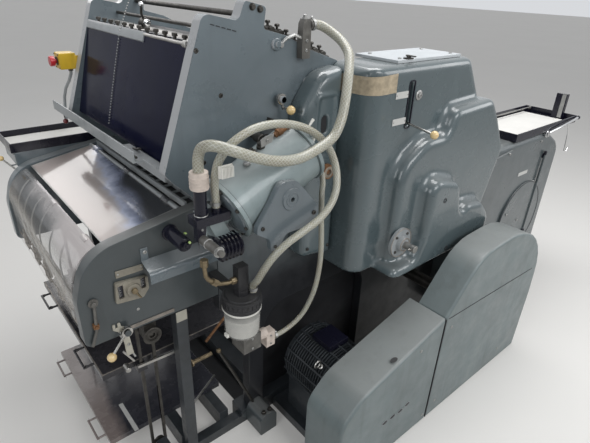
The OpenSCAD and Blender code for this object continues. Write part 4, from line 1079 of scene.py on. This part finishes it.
# Operator casing's ledges and small lever; jogger stops and knob, hoops in the nose, strips of the lid
g.bar((64, 422, 1016), (430, 600, 1020))
g.bar((66, 596, 920), (420, 599, 926))
g.done("casing_ledges", "light_paint", bevel=0.8)
g.tube([(60, 440, 960), (40, 446, 985), (28, 450, 1000)], 3.4, 10)
g.done("casing_lever", "bare_steel")
g.ball((24, 451, 1006), 10)
g.done("casing_lever_knob", "ivory_knob")
for y in range(-280, 281, 140):
    for s in (-1, 1):
        g.bar((13, y + 24 * s - 5, 700), (18, y + 24 * s + 5, 752))
    g.bar((13, y - 29, 700), (18, y + 29, 707))
    g.bar((13, y - 29, 745), (18, y + 29, 752))
g.bar((13, -370, 722), (17, 370, 727))
g.done("jogger_loops", "worn_stops", bevel=0.8)
g.turned((28, -300, 738), (-1, 0, 0), [(0, 8), (4, 8), (4, 14), (18, 14), (20, 12)], 20)
g.done("jogger_knob", "zinc")
for y in (300, 215, 120, 20, -90, -200):
    bend = [(132 + 116 * math.cos(a), y - 34 * math.sin(a - 1.6), 862 + 116 * math.sin(a))
            for a in (math.radians(118 + 6 * k) for k in range(11))]
    g.tube(bend + [(16.5, y - 34, 840), (18, y - 44, 780), (24, y - 60, 742)], 2.6, 8)
g.done("nose_hoops", "blank_label")
# A black strip under the rungs behind the lid stands in for the shade in the gap there: painted shade
g.bar((358, -372, 1006), (432, 372, 1010)).done("rung_gap_shade_strip", "roller_rubber")
g.bar((332, -370, 1024.6), (339, 370, 1027), ("Y", -10))
g.bar((103, -370, 985), (107, 370, 987), ("Y", -10))
for s in (-1, 1):
    g.bar((104, s * 368 - 2, 1003), (336, s * 368 + 2, 1006), ("Y", -10))
g.done("lid_edge_strips", "zinc", body="lid", bevel=0.4)


# Stage and light
def seen_directly(tree):
    """One for rays from the camera, glossy surfaces and clear sheets, zero for the others."""
    path = tree.nodes.new("ShaderNodeLightPath")
    most = path.outputs["Is Camera Ray"]
    for ray in ("Is Glossy Ray", "Is Transmission Ray"):
        n = tree.nodes.new("ShaderNodeMath")
        n.operation = "MAXIMUM"
        tree.links.new(most, n.inputs[0])
        tree.links.new(path.outputs[ray], n.inputs[1])
        most = n.outputs[0]
    return most


bm = bmesh.new()
bmesh.ops.create_grid(bm, x_segments=2, y_segments=2, size=40)
me = mesh_of("Floor", bm)
floor = bpy.data.objects.new("Floor", me)
floor.location.z = -0.0005
scene.collection.objects.link(floor)
PALE = (0.66, 0.65, 0.63)
fm = Nodes("floor")
fm.wear({"Base Color": fm.mix(fm.noise(0.7), (0.60, 0.59, 0.57), PALE), "Roughness": 0.65,
         "Emission Color": (*PALE, 1), "Emission Strength": fm.times(seen_directly(fm.nt), 0.2)})
me.materials.append(fm.m)
scene.world = bpy.data.worlds.new("World")
scene.world.use_nodes = True
wt = scene.world.node_tree
bg = wt.nodes["Background"]
bg.inputs["Color"].default_value = (0.85, 0.87, 0.90, 1)
strength = wt.nodes.new("ShaderNodeMapRange")
strength.inputs["To Min"].default_value = 0.36
strength.inputs["To Max"].default_value = 0.8
wt.links.new(seen_directly(wt), strength.inputs["Value"])
wt.links.new(strength.outputs["Result"], bg.inputs["Strength"])


def area(name, loc, target, size, power, color=(1, 1, 1)):
    l = bpy.data.lights.new(name, "AREA")
    l.shape = "RECTANGLE"
    l.size, l.size_y = size
    l.energy = power
    l.color = color
    o = bpy.data.objects.new(name, l)
    o.location = loc
    o.rotation_euler = (Vector(target) - Vector(loc)).to_track_quat("-Z", "Y").to_euler()
    scene.collection.objects.link(o)


area("Key", (-0.2, -3.6, 3.0), (0, 0, 0.8), (2.4, 1.4), 62)
area("Side", (-3.6, -1.2, 2.2), (-0.8, -0.2, 0.9), (1.4, 1.6), 22, (0.97, 0.99, 1.0))
area("Fill", (3.0, -2.4, 2.4), (0.6, 0, 0.8), (1.6, 1.6), 26)
area("Top", (0.4, 0.2, 3.8), (0, 0, 0.8), (2.8, 1.6), 85)
area("Back", (-0.6, 3.4, 2.6), (-0.2, 0, 0.9), (2.4, 0.9), 16, (1.0, 0.97, 0.95))
